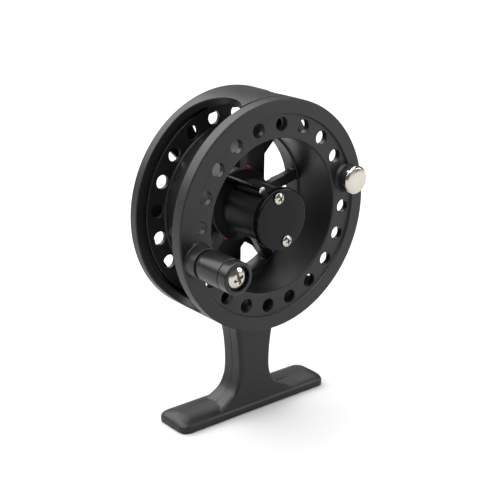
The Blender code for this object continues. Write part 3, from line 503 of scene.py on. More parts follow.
pin_shader = add(pin_tree, "ShaderNodeBsdfPrincipled", {
    "Base Color": colour, "Metallic": 1.0, "Roughness": rough, "Normal": bump})
add(pin_tree, "ShaderNodeOutputMaterial", {"Surface": pin_shader.outputs[0]})


# %% [markdown]
# ## The spool
# One moulding: a front flange with a raised rim for the palm, a drum, a thin rear flange, and a web of five
# spokes well back inside the drum, with the hub standing forward from it.

# %% Turned shape of the spool
LINE = math.radians(13.98)
HANDLE = LINE + math.pi
OFF_CENTRE = 25.2 * MM
DRUM_IN, DRUM_OUT = 20.0 * MM, 21.2 * MM
WEB_FRONT, WEB_BACK = 14.0 * MM, 16.4 * MM
HUB = 7.2 * MM
spool = turned("spool_moulding", filleted([
    (DRUM_IN, 0.6 * MM, 0.5 * MM),
    (26.0 * MM, 0.6 * MM, 0.15 * MM),
    (26.25 * MM, 0.0, 0.15 * MM),
    (RIM - 0.02 * MM, 0.0, 0.45 * MM),
    (RIM - 0.02 * MM, 3.4 * MM, 0.45 * MM),
    (27.2 * MM, 3.4 * MM, 0.5 * MM),
    (26.0 * MM, 2.4 * MM, 0.5 * MM),
    (DRUM_OUT, 2.4 * MM, 0.5 * MM),
    (DRUM_OUT, 18.0 * MM, 0.5 * MM),
    (26.8 * MM, 18.0 * MM, 0.2 * MM),
    (26.8 * MM, 19.2 * MM, 0.2 * MM),
    (DRUM_IN, 19.2 * MM, 0.2 * MM),
    (DRUM_IN, WEB_BACK, 0.3 * MM),
    (5.0 * MM, WEB_BACK, 0.2 * MM),
    (5.0 * MM, 18.2 * MM, 0.2 * MM),
    (3.7 * MM, 18.2 * MM, 0.1 * MM),
    (3.7 * MM, 13.0 * MM, 0.0),
    (2.9 * MM, 12.9 * MM, 0.0),
    (2.9 * MM, 8.3 * MM, 0.0),
    (3.7 * MM, 8.2 * MM, 0.0),
    (3.7 * MM, 2.6 * MM, 0.1 * MM),
    (4.8 * MM, 2.6 * MM, 0.0),
    (4.8 * MM, 0.0, 0.1 * MM),
    (HUB, 0.0, 0.25 * MM),
    (HUB, 11.9 * MM, 2.0 * MM),
    (9.3 * MM, WEB_FRONT, 0.8 * MM),
    (DRUM_IN, WEB_FRONT, 0.3 * MM),
]), segments=216)
print("spool turned:", len(spool.data.polygons), "faces")


# %% [markdown]
# Both flanges have twenty places for round holes. They save weight and let the line dry. In the front flange
# the handle and the counterweight take two of the places, so every tenth hole is left out there. The cut is
# the tree's work: one cutter, a count, a radius and the first angle.

# %% Perforations of both flanges
HOLE_PLACES = 20
HOLE = 1.78 * MM
HOLE_CIRCLE = 23.55 * MM
HOLE_SIDES = 40
front_hole = cutter("front_hole", circle(HOLE, HOLE_SIDES),
                    rounded_edges(0.6 * MM, 2.4 * MM, 0.22 * MM, 1.5 * MM), around_origin)
divide(spool, front_hole, SATIN, HOLE_PLACES, HOLE_CIRCLE, LINE, leave_out=HOLE_PLACES // 2)
rear_hole = cutter("rear_hole", circle(HOLE, HOLE_SIDES),
                   rounded_edges(18.0 * MM, 19.2 * MM, 0.18 * MM, 1.5 * MM), around_origin)
divide(spool, rear_hole, SATIN, HOLE_PLACES, HOLE_CIRCLE, LINE)
print("spool perforated:", len(spool.data.polygons), "faces")


# %% [markdown]
# Each window of the web follows the drum outside and the hub's disc inside, and its straight sides are
# parallel to the spokes beside it, with rounded corners where the core pins of the mould end.

# %% Windows of the web
SPOKES = 5
HALF_SPOKE = 1.35 * MM


def web_window(half_spoke, inner, outer, corner):
    share = math.tau / SPOKES
    points = []
    steps = 18
    first_out = math.asin(half_spoke / outer)
    first_in = math.asin(half_spoke / inner)
    outline = []
    for index in range(steps + 1):
        outline.append(polar(first_out + (share - 2 * first_out) * index / steps, outer))
    for index in range(steps + 1):
        outline.append(polar(share - first_in - (share - 2 * first_in) * index / steps, inner))
    for index, point in enumerate(outline):
        at_corner = index in (0, steps, steps + 1, 2 * steps + 1)
        points.append((*point, corner if at_corner else 0.0))
    return filleted(points)


window = cutter("web_window", web_window(HALF_SPOKE, 9.6 * MM, 19.6 * MM, 0.45 * MM),
                rounded_edges(WEB_FRONT, WEB_BACK, 0.2 * MM, 0.8 * MM), around_origin)
divide(spool, window, SATIN, SPOKES, 0.0, LINE)
print("windows of the web:", SPOKES)


# %% [markdown]
# The handle and the counterweight stand on low bosses that belong to the moulding. Each is a turned shape
# with a hollow curve at its foot, sunk a little into the flange before the two are joined.

# %% Seats of the handle and the counterweight
def seat(name, angle, radius, height, flare):
    sunk = 1.6 * MM
    return turned(name, filleted([
        (0.0, -height, 0.0),
        (radius, -height, 0.25 * MM),
        (radius + flare, -0.2 * MM, 0.5 * MM),
        (radius + flare + 0.5 * MM, 0.7 * MM, 0.0),
        (radius + flare + 0.5 * MM, sunk, 0.0),
        (0.0, sunk, 0.0),
    ]), 72, polar(angle, OFF_CENTRE))


combine(spool, [seat("handle_seat", HANDLE, 4.05 * MM, 3.3 * MM, 0.15 * MM),
                seat("weight_seat", LINE, 3.4 * MM, 1.8 * MM, 0.2 * MM)], "UNION")
finish_mesh(spool, SATIN, "spool", "spool")


# %% [markdown]
# ## The frame
# One moulding too: the ring behind the rear flange, a curved wall forward over the top and another under the
# spool, a back plate cut to a square with struts, and the stem that carries the foot.

# %% Ring, walls and back plate
RING_IN, RING_FRONT = 27.1 * MM, 18.1 * MM
PLATE_FRONT = 19.5 * MM
WALL_IN, WALL_FRONT = 27.8 * MM, 3.75 * MM
reel_frame = turned("frame_moulding", filleted([
    (2.3 * MM, PLATE_FRONT, 0.0),
    (RING_IN, PLATE_FRONT, 0.15 * MM),
    (RING_IN, RING_FRONT, 0.3 * MM),
    (WALL_IN, RING_FRONT, 0.0),
    (WALL_IN, WALL_FRONT, 0.3 * MM),
    (RIM - 0.02 * MM, WALL_FRONT, 0.3 * MM),
    (RIM - 0.02 * MM, RING_BACK, 0.5 * MM),
    (6.6 * MM, RING_BACK, 0.3 * MM),
    (6.2 * MM, RING_BACK + 0.6 * MM, 0.3 * MM),
    (2.3 * MM, RING_BACK + 0.6 * MM, 0.0),
]), segments=240)
print("frame turned:", len(reel_frame.data.polygons), "faces")


# %% [markdown]
# The tube of wall is then opened on both sides. What stays is a narrow wall over the top and a broad one
# above the stem, each with hollow side edges that sweep into the ring. The cutter is bent with the wall, and
# its two ends are grids of small faces, because a Boolean needs faces that are nearly flat. The exact solver
# left edges open on so many curved faces, so the frame is cut with the manifold one, which keeps it closed.

# %% Openings between the walls
WAIST = 10.2 * MM
TOP_WALL, FOOT_WALL = math.radians(12), math.radians(38)      # half angles at the waist
FRONT_FLARE, ROOT_FLARE = math.radians(5.6), math.radians(24)


def wall_edge(waist_angle, depth):
    """Angle from the middle of a wall to its side edge: it narrows to a waist, then sweeps into the ring."""
    if depth < WAIST:
        return waist_angle + FRONT_FLARE * ((WAIST - depth) / (WAIST - 3.4 * MM)) ** 2
    share = min(1.0, (depth - WAIST) / (RING_FRONT - WAIST))
    return waist_angle + ROOT_FLARE * (1 - math.sqrt(1 - share ** 2))


ARC_STEPS = 60
EDGE_STEPS = 28


def wall_opening(side):
    """Outline, as (arc length, depth), of the opening on one side between the foot wall and the top wall."""
    points = []
    depths = [1.0 * MM]
    for index in range(EDGE_STEPS + 1):
        share = index / EDGE_STEPS
        depths.append(3.0 * MM + (RING_FRONT - 3.0 * MM) * math.sin(math.pi / 2 * share))
    for depth in depths:
        angle = math.pi / 2 - wall_edge(TOP_WALL, depth)
        points.append((angle * RIM, depth))
    top_back = points[-1][0]
    foot_back = (-math.pi / 2 + wall_edge(FOOT_WALL, RING_FRONT)) * RIM
    for index in range(1, ARC_STEPS):
        points.append((top_back + (foot_back - top_back) * index / ARC_STEPS, RING_FRONT))
    for depth in reversed(depths):
        angle = -math.pi / 2 + wall_edge(FOOT_WALL, depth)
        points.append((angle * RIM, depth))
    top_front, foot_front = points[0][0], points[-1][0]
    for index in range(1, ARC_STEPS):
        points.append((foot_front + (top_front - foot_front) * index / ARC_STEPS, depths[0]))
    if side < 0:
        points = [(math.pi * RIM - along, depth) for along, depth in points]
    return points


def through_wall(along, depth, level):
    x, z = polar(along / RIM, -level)
    return at(x, depth, z)


def curved_cutter(name, outline, levels):
    """A cutter that follows the wall's curve, so its two ends are grids of small faces."""
    shape = bmesh.new()
    rings = []
    grids = []
    rows = EDGE_STEPS + 2
    for level, growth in levels:
        edge = grown(outline, growth)
        ring = [shape.verts.new(through_wall(along, depth, level)) for along, depth in edge]
        rings.append(ring)
        if level in (levels[0][0], levels[-1][0]):
            back = ring[rows:rows + ARC_STEPS - 1]
            front = ring[2 * rows + ARC_STEPS - 1:][::-1]
            grid = []
            for index in range(rows):
                partner = 2 * rows + ARC_STEPS - 2 - index
                middle = []
                for step in range(1, ARC_STEPS):
                    share = step / ARC_STEPS
                    along = edge[index][0] + (edge[partner][0] - edge[index][0]) * share
                    depth = edge[index][1] + (edge[partner][1] - edge[index][1]) * share
                    middle.append((along, depth))
                if index == 0:
                    inside = front
                elif index == rows - 1:
                    inside = back
                else:
                    inside = [shape.verts.new(through_wall(*point, level)) for point in middle]
                grid.append([ring[index], *inside, ring[partner]])
            grids.append(grid)
    bands(shape, rings)
    for grid in grids:
        for one, two in zip(grid, grid[1:]):
            for a in range(ARC_STEPS):
                shape.faces.new((one[a], one[a + 1], two[a + 1], two[a]))
    return make_object(name, shape)


wall_levels = rounded_edges(-RIM, -WALL_IN, 0.35 * MM, 1.2 * MM)
openings = [curved_cutter("wall_opening_right", wall_opening(1), wall_levels),
            curved_cutter("wall_opening_left", wall_opening(-1), wall_levels)]
combine(reel_frame, openings, "DIFFERENCE", "MANIFOLD")
print("frame opened:", len(reel_frame.data.polygons), "faces")


# %% [markdown]
# The back plate's windows leave a square behind the hub, a pointed rib in each side window, and a straight
# strut down to the foot. They are the same on the left and on the right.

# %% Windows of the back plate
def arc_corners(start, end, radius, steps, first, last):
    corners = []
    for index in range(steps + 1):
        x, z = polar(start + (end - start) * index / steps, radius)
        corners.append([x, z, 0.0])
    corners[0][2] = first
    corners[-1][2] = last
    return [tuple(corner) for corner in corners]


PLATE_HALF = 12.6 * MM
WINDOW_OUT = 24.2 * MM


def plate_windows():
    corner = 0.5 * MM
    side_end = math.radians(41)
    levels = rounded_edges(PLATE_FRONT, RING_BACK, 0.2 * MM, 1.0 * MM)
    shapes = []
    for side in (1, -1):
        outline = [(PLATE_HALF, z, corner) for z in (2.4 * MM - PLATE_HALF, PLATE_HALF - 2.4 * MM)]
        outline += arc_corners(side_end, math.radians(10), WINDOW_OUT, 14, corner, corner)
        outline += [(14.6 * MM, 2.7 * MM, 0.4 * MM)]
        outline += arc_corners(math.radians(-4), -side_end, WINDOW_OUT, 14, corner, corner)
        lower = [(4.8 * MM, -14.4 * MM, corner), (6.2 * MM, -13.1 * MM, corner),
                 (9.5 * MM, -15.2 * MM, corner), (11.4 * MM, -17.8 * MM, 0.3 * MM)]
        strut = -math.acos(4.8 * MM / WINDOW_OUT)
        lower += arc_corners(math.radians(-52), strut, WINDOW_OUT, 8, 0.3 * MM, corner)
        for kind, corners in (("side", outline), ("lower", lower)):
            points = [(side * x, z) for x, z in filleted(corners)]
            shapes.append(cutter("%s_window_%d" % (kind, side), points, levels, at_level))
    top = arc_corners(math.radians(62), math.radians(118), WINDOW_OUT, 14, corner, corner)
    top += [(-7.0 * MM, 13.2 * MM, corner), (7.0 * MM, 13.2 * MM, corner)]
    shapes.append(cutter("top_window", filleted(top), levels, at_level))
    return shapes


def at_level(x, z, level):
    return at(x, level, z)


combine(reel_frame, plate_windows(), "DIFFERENCE", "MANIFOLD")
print("frame with windows:", len(reel_frame.data.polygons), "faces")


# %% [markdown]
# The stem is waisted like the handle of a spade and runs into the foot with a wide hollow curve. The two
# halves of the mould meet along its middle, where a hair line of flash stays.

# %% Stem
def rounded_box(half_x, half_y, corner, shift_y=0.0, steps=6):
    corner = min(corner, half_x * 0.98, half_y * 0.98)
    points = []
    for quadrant in range(4):
        middle_x = (half_x - corner) * (1 if quadrant in (0, 3) else -1)
        middle_y = (half_y - corner) * (1 if quadrant in (0, 1) else -1)
        for step in range(steps + 1):
            x, y = polar(math.tau / 4 * (quadrant + step / steps), corner)
            points.append((middle_x + x, middle_y + y + shift_y))
    return points


FOOT_TOP = 3.4 * MM
stem_shape = bmesh.new()
STEM_LEVELS = 44
stem_base = 2.2 * MM
stem_top = AXIS_Z - WALL_IN - 0.5 * MM
STEM_Y = FRONT_Y + 10.8 * MM
profile = [(stem_base, 13.0 * MM), (3.3 * MM, 10.9 * MM), (4.3 * MM, 9.2 * MM), (5.6 * MM, 7.4 * MM),
           (7.4 * MM, 6.2 * MM), (9.4 * MM, 5.4 * MM), (11.8 * MM, 5.1 * MM), (15.0 * MM, 5.15 * MM),
           (18.5 * MM, 5.45 * MM), (21.5 * MM, 5.9 * MM), (24.0 * MM, 6.45 * MM), (26.0 * MM, 7.3 * MM),
           (stem_top, 8.5 * MM)]      # (height, half width)


def smooth_through(pairs, height):
    """Catmull-Rom value at a height through (height, value) pairs."""
    for index in range(len(pairs) - 1):
        if height <= pairs[index + 1][0] or index == len(pairs) - 2:
            before = pairs[max(index - 1, 0)]
            here = pairs[index]
            there = pairs[index + 1]
            after = pairs[min(index + 2, len(pairs) - 1)]
            span = there[0] - here[0]
            t = (height - here[0]) / span
            slope_a = (there[1] - before[1]) / (there[0] - before[0]) * span
            slope_b = (after[1] - here[1]) / (after[0] - here[0]) * span
            return ((2 * t ** 3 - 3 * t ** 2 + 1) * here[1] + (t ** 3 - 2 * t ** 2 + t) * slope_a
                    + (3 * t ** 2 - 2 * t ** 3) * there[1] + (t ** 3 - t ** 2) * slope_b)
    return pairs[-1][1]


loops = []
for index in range(STEM_LEVELS + 1):
    height = stem_base + (stem_top - stem_base) * index / STEM_LEVELS
    half = smooth_through(profile, height)
    from_foot = max(0.0, 1 - (height - stem_base) / (5 * MM))
    from_wall = max(0.0, 1 - (stem_top - height) / (6 * MM))
    thick = 3.75 * MM + 0.7 * MM * from_foot ** 2 + 0.9 * MM * from_wall ** 2
    loops.append([(x, y, height) for x, y in rounded_box(half, thick, 1.1 * MM, STEM_Y)])
skin(stem_shape, loops)
stem = make_object("stem", stem_shape)
print("stem:", len(stem.data.polygons), "faces")


# %% [markdown]
# The foot is a thin bar with rounded ends and a crowned top, so that it slides under the hoods of a reel
# seat. It is lofted from rounded rectangles that shrink upwards, less at the ends than at the sides. The
# flash is a hair-thin plate a twentieth of a millimetre larger than the outline of stem and foot.

# %% Foot and flash
FOOT_HALF_X, FOOT_HALF_Y = 24.7 * MM, 5.9 * MM
END_SHARE = 0.62      # the ends draw in by this share of what the sides do
foot_shape = bmesh.new()
loops = []
# (height, how far the sides have drawn in), in millimetres
CROWN = ((0.0, 0.30), (0.09, 0.09), (0.30, 0.0), (1.25, 0.0), (1.45, 0.04), (1.75, 0.18), (2.1, 0.46),
         (2.45, 0.95), (2.75, 1.6), (3.0, 2.4), (3.18, 3.2), (3.32, 4.1), (3.4, 5.2))
for height, inset in CROWN:
    inset *= MM
    loops.append([(x, y, height * MM) for x, y in rounded_box(
        FOOT_HALF_X - inset * END_SHARE, FOOT_HALF_Y - inset, 2.4 * MM, steps=10)])
skin(foot_shape, loops)
foot = make_object("foot", foot_shape)

FLASH, FLASH_HALF = 0.05 * MM, 0.06 * MM
edge = [(FOOT_HALF_X - inset * END_SHARE * MM + FLASH, height * MM) for height, inset in CROWN[2:-1]]
edge.append((smooth_through(profile, FOOT_TOP) + FLASH, FOOT_TOP + FLASH))
for index in range(1, STEM_LEVELS + 1):
    height = FOOT_TOP + 0.3 * MM + (stem_top - FOOT_TOP - 0.3 * MM) * index / STEM_LEVELS
    edge.append((smooth_through(profile, height) + FLASH, height))
outline = edge + [(-x, z) for x, z in reversed(edge)]
flash_shape = bmesh.new()
rows = []
for y in (STEM_Y - FLASH_HALF, STEM_Y + FLASH_HALF):
    rows.append([(x, y, z) for x, z in outline])
skin(flash_shape, rows)
flash = make_object("flash", flash_shape)
combine(reel_frame, [stem, foot, flash], "UNION", "MANIFOLD")
finish_mesh(reel_frame, SATIN, "reel_frame", "frame")


# %% [markdown]
# ## Small pieces
# The hub cap is polished so that it mirrors the room. Two small cross-recess screws hold it to the hub.

# %% Hub cap
CAP_FRONT, CAP_BACK = -2.3 * MM, -0.3 * MM
SCREW_CIRCLE = 6.0 * MM
hub_cap = turned("hub_cap_moulding", filleted([
    (0.0, CAP_FRONT, 0.0),
    (5.2 * MM, CAP_FRONT, 3.0 * MM),
    (8.0 * MM, CAP_FRONT + 0.16 * MM, 0.55 * MM),
    (8.0 * MM, CAP_BACK, 0.2 * MM),
    (0.0, CAP_BACK, 0.0),
], steps=7), segments=144)
screw_hole = cutter("cap_hole", circle(0.9 * MM, 24), [(CAP_FRONT - MM, 0.0), (CAP_BACK + MM, 0.0)],
                    around_origin)
divide(hub_cap, screw_hole, GLOSSY, 2, SCREW_CIRCLE, LINE + math.pi / 2)
finish_mesh(hub_cap, GLOSSY, "spool", "hub_cap")


# %% [markdown]
# Every screw is the same form at another size: a domed head, a cross recess punched into it with sloping
# walls, and a plain shank.

# %% Screws
def cross(reach, half, corner):
    corners = []
    for arm in range(4):
        turn = math.tau * arm / 4
        inner = (half, half, corner * 1.8)
        for along, across, radius in (inner, (reach, half, corner), (reach, -half, corner)):
            x = along * math.cos(turn) + across * math.sin(turn)
            z = along * math.sin(turn) - across * math.cos(turn)
            corners.append((x, z, radius))
    return filleted(corners[::-1], 3)


def screw(name, centre, head, height, back, shank, end, spin):
    top = back - height
    made = turned(name, filleted([
        (0.0, top, 0.0),
        (head * 0.55, top + height * 0.03, head * 0.9),
        (head, top + height * 0.55, height * 0.22),
        (head, back, 0.05 * MM),
        (shank, back, 0.0),
        (shank, end, 0.0),
        (0.0, end, 0.0),
    ], 5), 56, centre)
    outline = []
    for x, z in cross(head * 0.52, head * 0.12, head * 0.05):
        outline.append((centre[0] + x * math.cos(spin) - z * math.sin(spin),
                        centre[1] + x * math.sin(spin) + z * math.cos(spin)))
    recess = [(top - 0.5 * MM, head * 0.05), (top + height * 0.04, head * 0.03),
              (top + height * 0.75, -head * 0.03)]
    combine(made, [cutter(name + "_recess", outline, recess, at_level)], "DIFFERENCE")
    return made


for label, side, spin in (("upper", 1, 0.55), ("lower", -1, 0.2)):
    made = screw("cap_screw_" + label + "_turned", polar(LINE + side * math.pi / 2, SCREW_CIRCLE), 1.5 * MM,
                 0.85 * MM, CAP_FRONT - 0.02 * MM, 0.6 * MM, 4.0 * MM, spin)
    finish_mesh(made, NICKEL, "spool", "cap_screw_" + label)


# %% [markdown]
# The pin stands forward from the web, close beside the hub. It is a plain rod with a chamfered end.

# %% Hub pin
PIN_PLACE = polar(math.radians(120), HUB + 1.6 * MM)
pin = turned("hub_pin_ground", filleted([
    (0.0, 0.3 * MM, 0.0), (1.0 * MM, 0.3 * MM, 0.3 * MM), (1.0 * MM, WEB_BACK - 0.2 * MM, 0.1 * MM),
    (0.0, WEB_BACK - 0.2 * MM, 0.0)]), 40, PIN_PLACE)
finish_mesh(pin, PIN_WITH_PAINTED_SHADE, "spool", "hub_pin")


# %% [markdown]
# The handle is a moulded barrel that spins on a brass post. A broad screw closes its end, sunk in a pocket,
# and a groove runs round it near that end. The counterweight opposite is a nickel-plated button.

# %% Handle and counterweight
handle_centre = polar(HANDLE, OFF_CENTRE)
knob_low, knob_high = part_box("handle_knob")
KNOB_FRONT = knob_low.y - FRONT_Y
KNOB_BACK = knob_high.y - FRONT_Y
GROOVE = KNOB_FRONT + 3.0 * MM
knob = turned("handle_barrel", filleted([
    (3.15 * MM, KNOB_FRONT, 0.1 * MM),
    (4.05 * MM, KNOB_FRONT, 0.5 * MM),
    (4.05 * MM, GROOVE - 0.22 * MM, 0.08 * MM),
    (3.85 * MM, GROOVE - 0.12 * MM, 0.05 * MM),
    (3.85 * MM, GROOVE + 0.12 * MM, 0.05 * MM),
    (4.05 * MM, GROOVE + 0.22 * MM, 0.08 * MM),
    (4.05 * MM, KNOB_BACK, 0.4 * MM),
    (2.2 * MM, KNOB_BACK, 0.1 * MM),
    (2.2 * MM, KNOB_FRONT + 1.3 * MM, 0.0),
    (3.15 * MM, KNOB_FRONT + 1.3 * MM, 0.0),
], 5), 120, handle_centre)
finish_mesh(knob, BRIGHT, "handle", "handle_knob")
HEAD_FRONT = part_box("handle_screw")[0].y - FRONT_Y
HEAD_HEIGHT = 1.2 * MM
handle_screw = screw("handle_screw_turned", handle_centre, 2.65 * MM, HEAD_HEIGHT, HEAD_FRONT + HEAD_HEIGHT,
                     0.8 * MM, -0.9 * MM, 0.35)
finish_mesh(handle_screw, NICKEL, "spool", "handle_screw")
weight_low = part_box("counterweight")[0].y - FRONT_Y
weight = turned("counterweight_turned", filleted([
    (0.0, weight_low, 0.0),
    (2.2 * MM, weight_low + 0.02 * MM, 1.5 * MM),
    (3.3 * MM, weight_low + 0.22 * MM, 0.5 * MM),
    (3.75 * MM, weight_low + 0.75 * MM, 0.3 * MM),
    (3.75 * MM, weight_low + 1.6 * MM, 0.2 * MM),
    (1.2 * MM, weight_low + 1.6 * MM, 0.0),
    (1.2 * MM, 1.4 * MM, 0.0),
    (0.0, 1.4 * MM, 0.0),
], 6), 96, polar(LINE, OFF_CENTRE))
finish_mesh(weight, NICKEL, "spool", "counterweight")


# %% [markdown]
# The click's ratchet wheel sits behind the web and shows red through its windows. The tree cuts its 24 gaps.
# Their first angle is the mean direction of the root corners of the CAD wheel, folded into one gap.

# %% Ratchet wheel
gear_low, gear_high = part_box("click_gear")
TIP = 10.2 * MM
ROOT = TIP - 0.9 * MM
TEETH = 24
gear = turned("ratchet_wheel", filleted([
    (5.3 * MM, gear_low.y - FRONT_Y, 0.1 * MM), (TIP, gear_low.y - FRONT_Y, 0.1 * MM),
    (TIP, gear_high.y - FRONT_Y, 0.1 * MM), (5.3 * MM, gear_high.y - FRONT_Y, 0.1 * MM)], 3), 192)
gap = filleted([(ROOT, -0.39 * MM, 0.15 * MM), (TIP + 0.5 * MM, -1.45 * MM, 0.0),
                (TIP + 0.5 * MM, 1.45 * MM, 0.0), (ROOT, 0.39 * MM, 0.15 * MM)], 4)
gap_levels = [(gear_low.y - FRONT_Y - MM, 0.0), (gear_high.y - FRONT_Y + MM, 0.0)]
gap_tool = cutter("tooth_gap", gap, gap_levels, around_origin)
across = up = 0.0
for corner in frame["nodes"]["click_gear"].data.vertices:
    x, z = corner.co.x, corner.co.z - AXIS_Z
    if 0.7 * TIP < math.hypot(x, z) < ROOT + 0.3 * MM:
        across += math.cos(TEETH * math.atan2(z, x))
        up += math.sin(TEETH * math.atan2(z, x))
divide(gear, gap_tool, RED, TEETH, 0.0, math.atan2(up, across) / TEETH)
finish_mesh(gear, RED, "spool", "click_gear")


# %% [markdown]
# Behind the back plate a hexagon nut on a washer holds the spindle. The nut is turned with both chamfers and
# then meets a hexagonal prism, which is what milling its flats does: the chamfer leaves curved corners.

# %% Nut and washer
nut_low, nut_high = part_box("spindle_nut")
washer_low, washer_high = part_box("nut_washer")


def hexagon(flats, corner):
    points = []
    for index in range(6):
        x, z = polar(math.tau * index / 6, flats / math.cos(math.pi / 6))
        points.append((x, z, corner))
    return filleted(points, 4)


nut = turned("spindle_nut_turned", filleted([
    (1.95 * MM, nut_low.y - FRONT_Y, 0.1 * MM), (3.6 * MM, nut_low.y - FRONT_Y, 0.0),
    (4.2 * MM, nut_low.y - FRONT_Y + 0.35 * MM, 0.0), (4.2 * MM, nut_high.y - FRONT_Y - 0.35 * MM, 0.0),
    (3.6 * MM, nut_high.y - FRONT_Y, 0.0), (2.3 * MM, nut_high.y - FRONT_Y, 0.0),
    (1.95 * MM, nut_high.y - FRONT_Y - 0.3 * MM, 0.0)], 3), 96)
flats_levels = [(nut_low.y - FRONT_Y - MM, 0.0), (nut_high.y - FRONT_Y + MM, 0.0)]
combine(nut, [cutter("hexagon", hexagon(3.5 * MM, 0.1 * MM), flats_levels, at_level)], "INTERSECT")
finish_mesh(nut, STEEL, "reel_frame", "spindle_nut")
washer = turned("nut_washer_turned", filleted([
    (2.4 * MM, washer_low.y - FRONT_Y, 0.05 * MM), (4.3 * MM, washer_low.y - FRONT_Y, 0.15 * MM),
    (4.3 * MM, washer_high.y - FRONT_Y, 0.1 * MM), (2.4 * MM, washer_high.y - FRONT_Y, 0.05 * MM)], 3), 96)
finish_mesh(washer, STEEL, "reel_frame", "nut_washer")


# %% [markdown]
# The click's knob is a small disc with a finger bar across it. Its place is that of its joint.

# %% Click knob
knob_place = joints["click_knob_turn"]["pos_m"]
click_centre = (knob_place[0], knob_place[2] - AXIS_Z)
click_low, click_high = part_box("click_knob")
CLICK_FRONT = RING_BACK + 0.3 * MM
CLICK_BACK = click_high.y - FRONT_Y
click_knob = turned("click_knob_moulding", filleted([
    (0.0, click_low.y - FRONT_Y, 0.0),
    (1.1 * MM, click_low.y - FRONT_Y, 0.1 * MM),
    (1.1 * MM, CLICK_FRONT, 0.1 * MM),
    (3.7 * MM, CLICK_FRONT, 0.15 * MM),
    (3.7 * MM, CLICK_FRONT + 1.1 * MM, 0.35 * MM),
    (0.0, CLICK_FRONT + 1.1 * MM, 0.0),
], 5), 96, click_centre)
bar_outline = []
for x, z in filleted([(-3.4 * MM, -0.9 * MM, 0.6 * MM), (3.4 * MM, -0.9 * MM, 0.6 * MM),
                      (3.4 * MM, 0.9 * MM, 0.6 * MM), (-3.4 * MM, 0.9 * MM, 0.6 * MM)], 6):
    bar_outline.append((click_centre[0] + x, click_centre[1] + z))
bar = cutter("finger_bar", bar_outline, [
    (CLICK_FRONT + 0.6 * MM, 0.0), (CLICK_BACK - 0.3 * MM, 0.0), (CLICK_BACK - 0.12 * MM, -0.06 * MM),
    (CLICK_BACK - 0.03 * MM, -0.16 * MM), (CLICK_BACK, -0.3 * MM)], at_level)
combine(click_knob, [bar], "UNION")
finish_mesh(click_knob, SATIN, "click_switch", "click_knob")


# %% [markdown]
# The other pieces are small turned or stamped parts that show only in gaps. They keep the mesh of the packed
# reel and get the finish of the real one.

# %% Pieces that keep their own mesh
FINISHES = {
    "spindle": STEEL, "spindle_clip": STEEL, "thrust_washer": STEEL, "pawl_pin": STEEL, "pawl_spring": STEEL,
    "hub_bush_front": BRONZE, "hub_bush_rear": BRONZE, "handle_post": BRASS, "handle_washer": DARK_BRASS,
    "click_pawl": WHITE, "click_cam": WHITE,
}
for name, look in FINISHES.items():
    kept = frame["nodes"][name]
    kept.data.materials.clear()
    kept.data.materials.append(look)
print("kept meshes:", len(FINISHES))


# %% [markdown]
# ## Room, light and camera
# A white floor in a dim white room, with two soft lights. Black plastic shows its form by broad soft
# reflections, so the room itself gives little light.

# %% Floor and room
FLOOR_HALF = 3.0
floor_corners = ((-FLOOR_HALF, -FLOOR_HALF), (FLOOR_HALF, -FLOOR_HALF), (FLOOR_HALF, FLOOR_HALF),
                 (-FLOOR_HALF, FLOOR_HALF))
floor_shape = bmesh.new()
skin(floor_shape, [[(x, y, z) for x, y in floor_corners] for z in (-0.012, -0.0002)])
floor = make_object("floor", floor_shape)
paper, paper_tree = new_material("matt white paper")
where = add(paper_tree, "ShaderNodeTexCoord").outputs["Object"]
fibres = add(paper_tree, "ShaderNodeTexNoise", {"Vector": where, "Scale": 1 / (1.5 * MM), "Detail": 3.0})
clouds = add(paper_tree, "ShaderNodeTexNoise", {"Vector": where, "Scale": 1 / 0.2, "Detail": 3.0})
paper_bump = add(paper_tree, "ShaderNodeBump", {
    "Height": fibres.outputs["Fac"], "Strength": 0.2, "Distance": 0.02 * MM}).outputs[0]
paper_colour = add(paper_tree, "ShaderNodeMix", {
    MIX_FACTOR: clouds.outputs["Fac"], MIX_DARK: srgb("#b2b2b2"), MIX_LIGHT: srgb("#b6b6b6")},
    data_type="RGBA").outputs[MIX_COLOUR]
paper_shader = add(paper_tree, "ShaderNodeBsdfPrincipled", {
    "Base Color": paper_colour, "Roughness": 0.9, "Normal": paper_bump})
add(paper_tree, "ShaderNodeOutputMaterial", {"Surface": paper_shader.outputs[0]})
floor.data.materials.append(paper)
floor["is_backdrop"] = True

ROOM_LIGHT = 0.15
world = bpy.data.worlds.new("white room")
bpy.context.scene.world = world
world.use_nodes = True
world.node_tree.nodes["Background"].inputs["Color"].default_value = (1.0, 1.0, 1.0, 1.0)
world.node_tree.nodes["Background"].inputs["Strength"].default_value = ROOM_LIGHT
bpy.context.scene.view_settings.view_transform = "Standard"
print("room light:", ROOM_LIGHT)


# %% [markdown]
# A sun as wide as a ceiling of soft boxes stands for the light above. It leans from behind on the left, so
# the tops of rim, ring and foot are bright and the faces towards the viewer stay dark. A weak disc on the
# right lifts the inside of the drum.

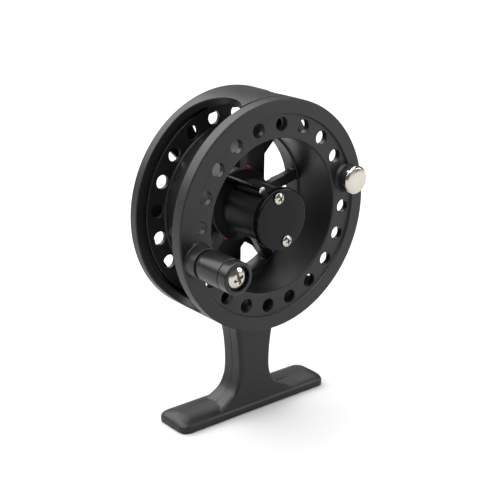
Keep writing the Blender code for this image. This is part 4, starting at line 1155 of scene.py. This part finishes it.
# %% Lights
ceiling_lamp = bpy.data.lights.new("ceiling", "SUN")
ceiling_lamp.energy = 9.0
ceiling_lamp.angle = math.radians(100)
ceiling = bpy.data.objects.new("ceiling", ceiling_lamp)
ceiling.rotation_euler = Vector((0.25, -0.30, -1.0)).to_track_quat("-Z", "Y").to_euler()
bpy.context.scene.collection.objects.link(ceiling)

fill_lamp = bpy.data.lights.new("fill", "AREA")
fill_lamp.shape = "DISK"
fill_lamp.size = 0.25
fill_lamp.energy = 1.2
fill = bpy.data.objects.new("fill", fill_lamp)
fill.location = (0.40, -0.35, 0.25)
fill_way = Vector((0.0, 0.0, AXIS_Z)) - Vector(fill.location)
fill.rotation_euler = fill_way.to_track_quat("-Z", "Y").to_euler()
bpy.context.scene.collection.objects.link(fill)
print("light of ceiling and fill:", ceiling_lamp.energy, fill_lamp.energy)


# %% [markdown]
# A long lens looks down a little from the front left, so that the face, the gap between the flanges and the
# top of the foot all show.

# %% Camera
LENS_LENGTH = 85.43
FROM_FACE = Vector((-0.18625, -0.21167, 0.09187))      # from the middle of the spool's face
TO_LEFT, TILT, ROLL = math.radians(-40.0256), math.radians(70.3589), math.radians(0.8156)
lens = bpy.data.cameras.new("camera")
lens.lens = LENS_LENGTH
lens.sensor_width = 36.0
lens.clip_start = 0.01
lens.clip_end = 20.0
camera = bpy.data.objects.new("camera", lens)
camera.location = Vector((0.0, FRONT_Y, AXIS_Z)) + FROM_FACE
turn = Matrix.Rotation(TO_LEFT, 3, "Z") @ Matrix.Rotation(TILT, 3, "X") @ Matrix.Rotation(ROLL, 3, "Z")
camera.rotation_euler = turn.to_euler()
bpy.context.scene.collection.objects.link(camera)
bpy.context.scene.camera = camera
print("camera", [round(value, 3) for value in camera.location])


# %% [markdown]
# The box of the finished reel is compared with the box of the imported one.

# %% Compare the boxes
now_low, now_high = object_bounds()
beyond = (*(cad_low - now_low), *(now_high - cad_high))
print("beyond the CAD box, mm:", [round(value / MM, 3) for value in beyond])
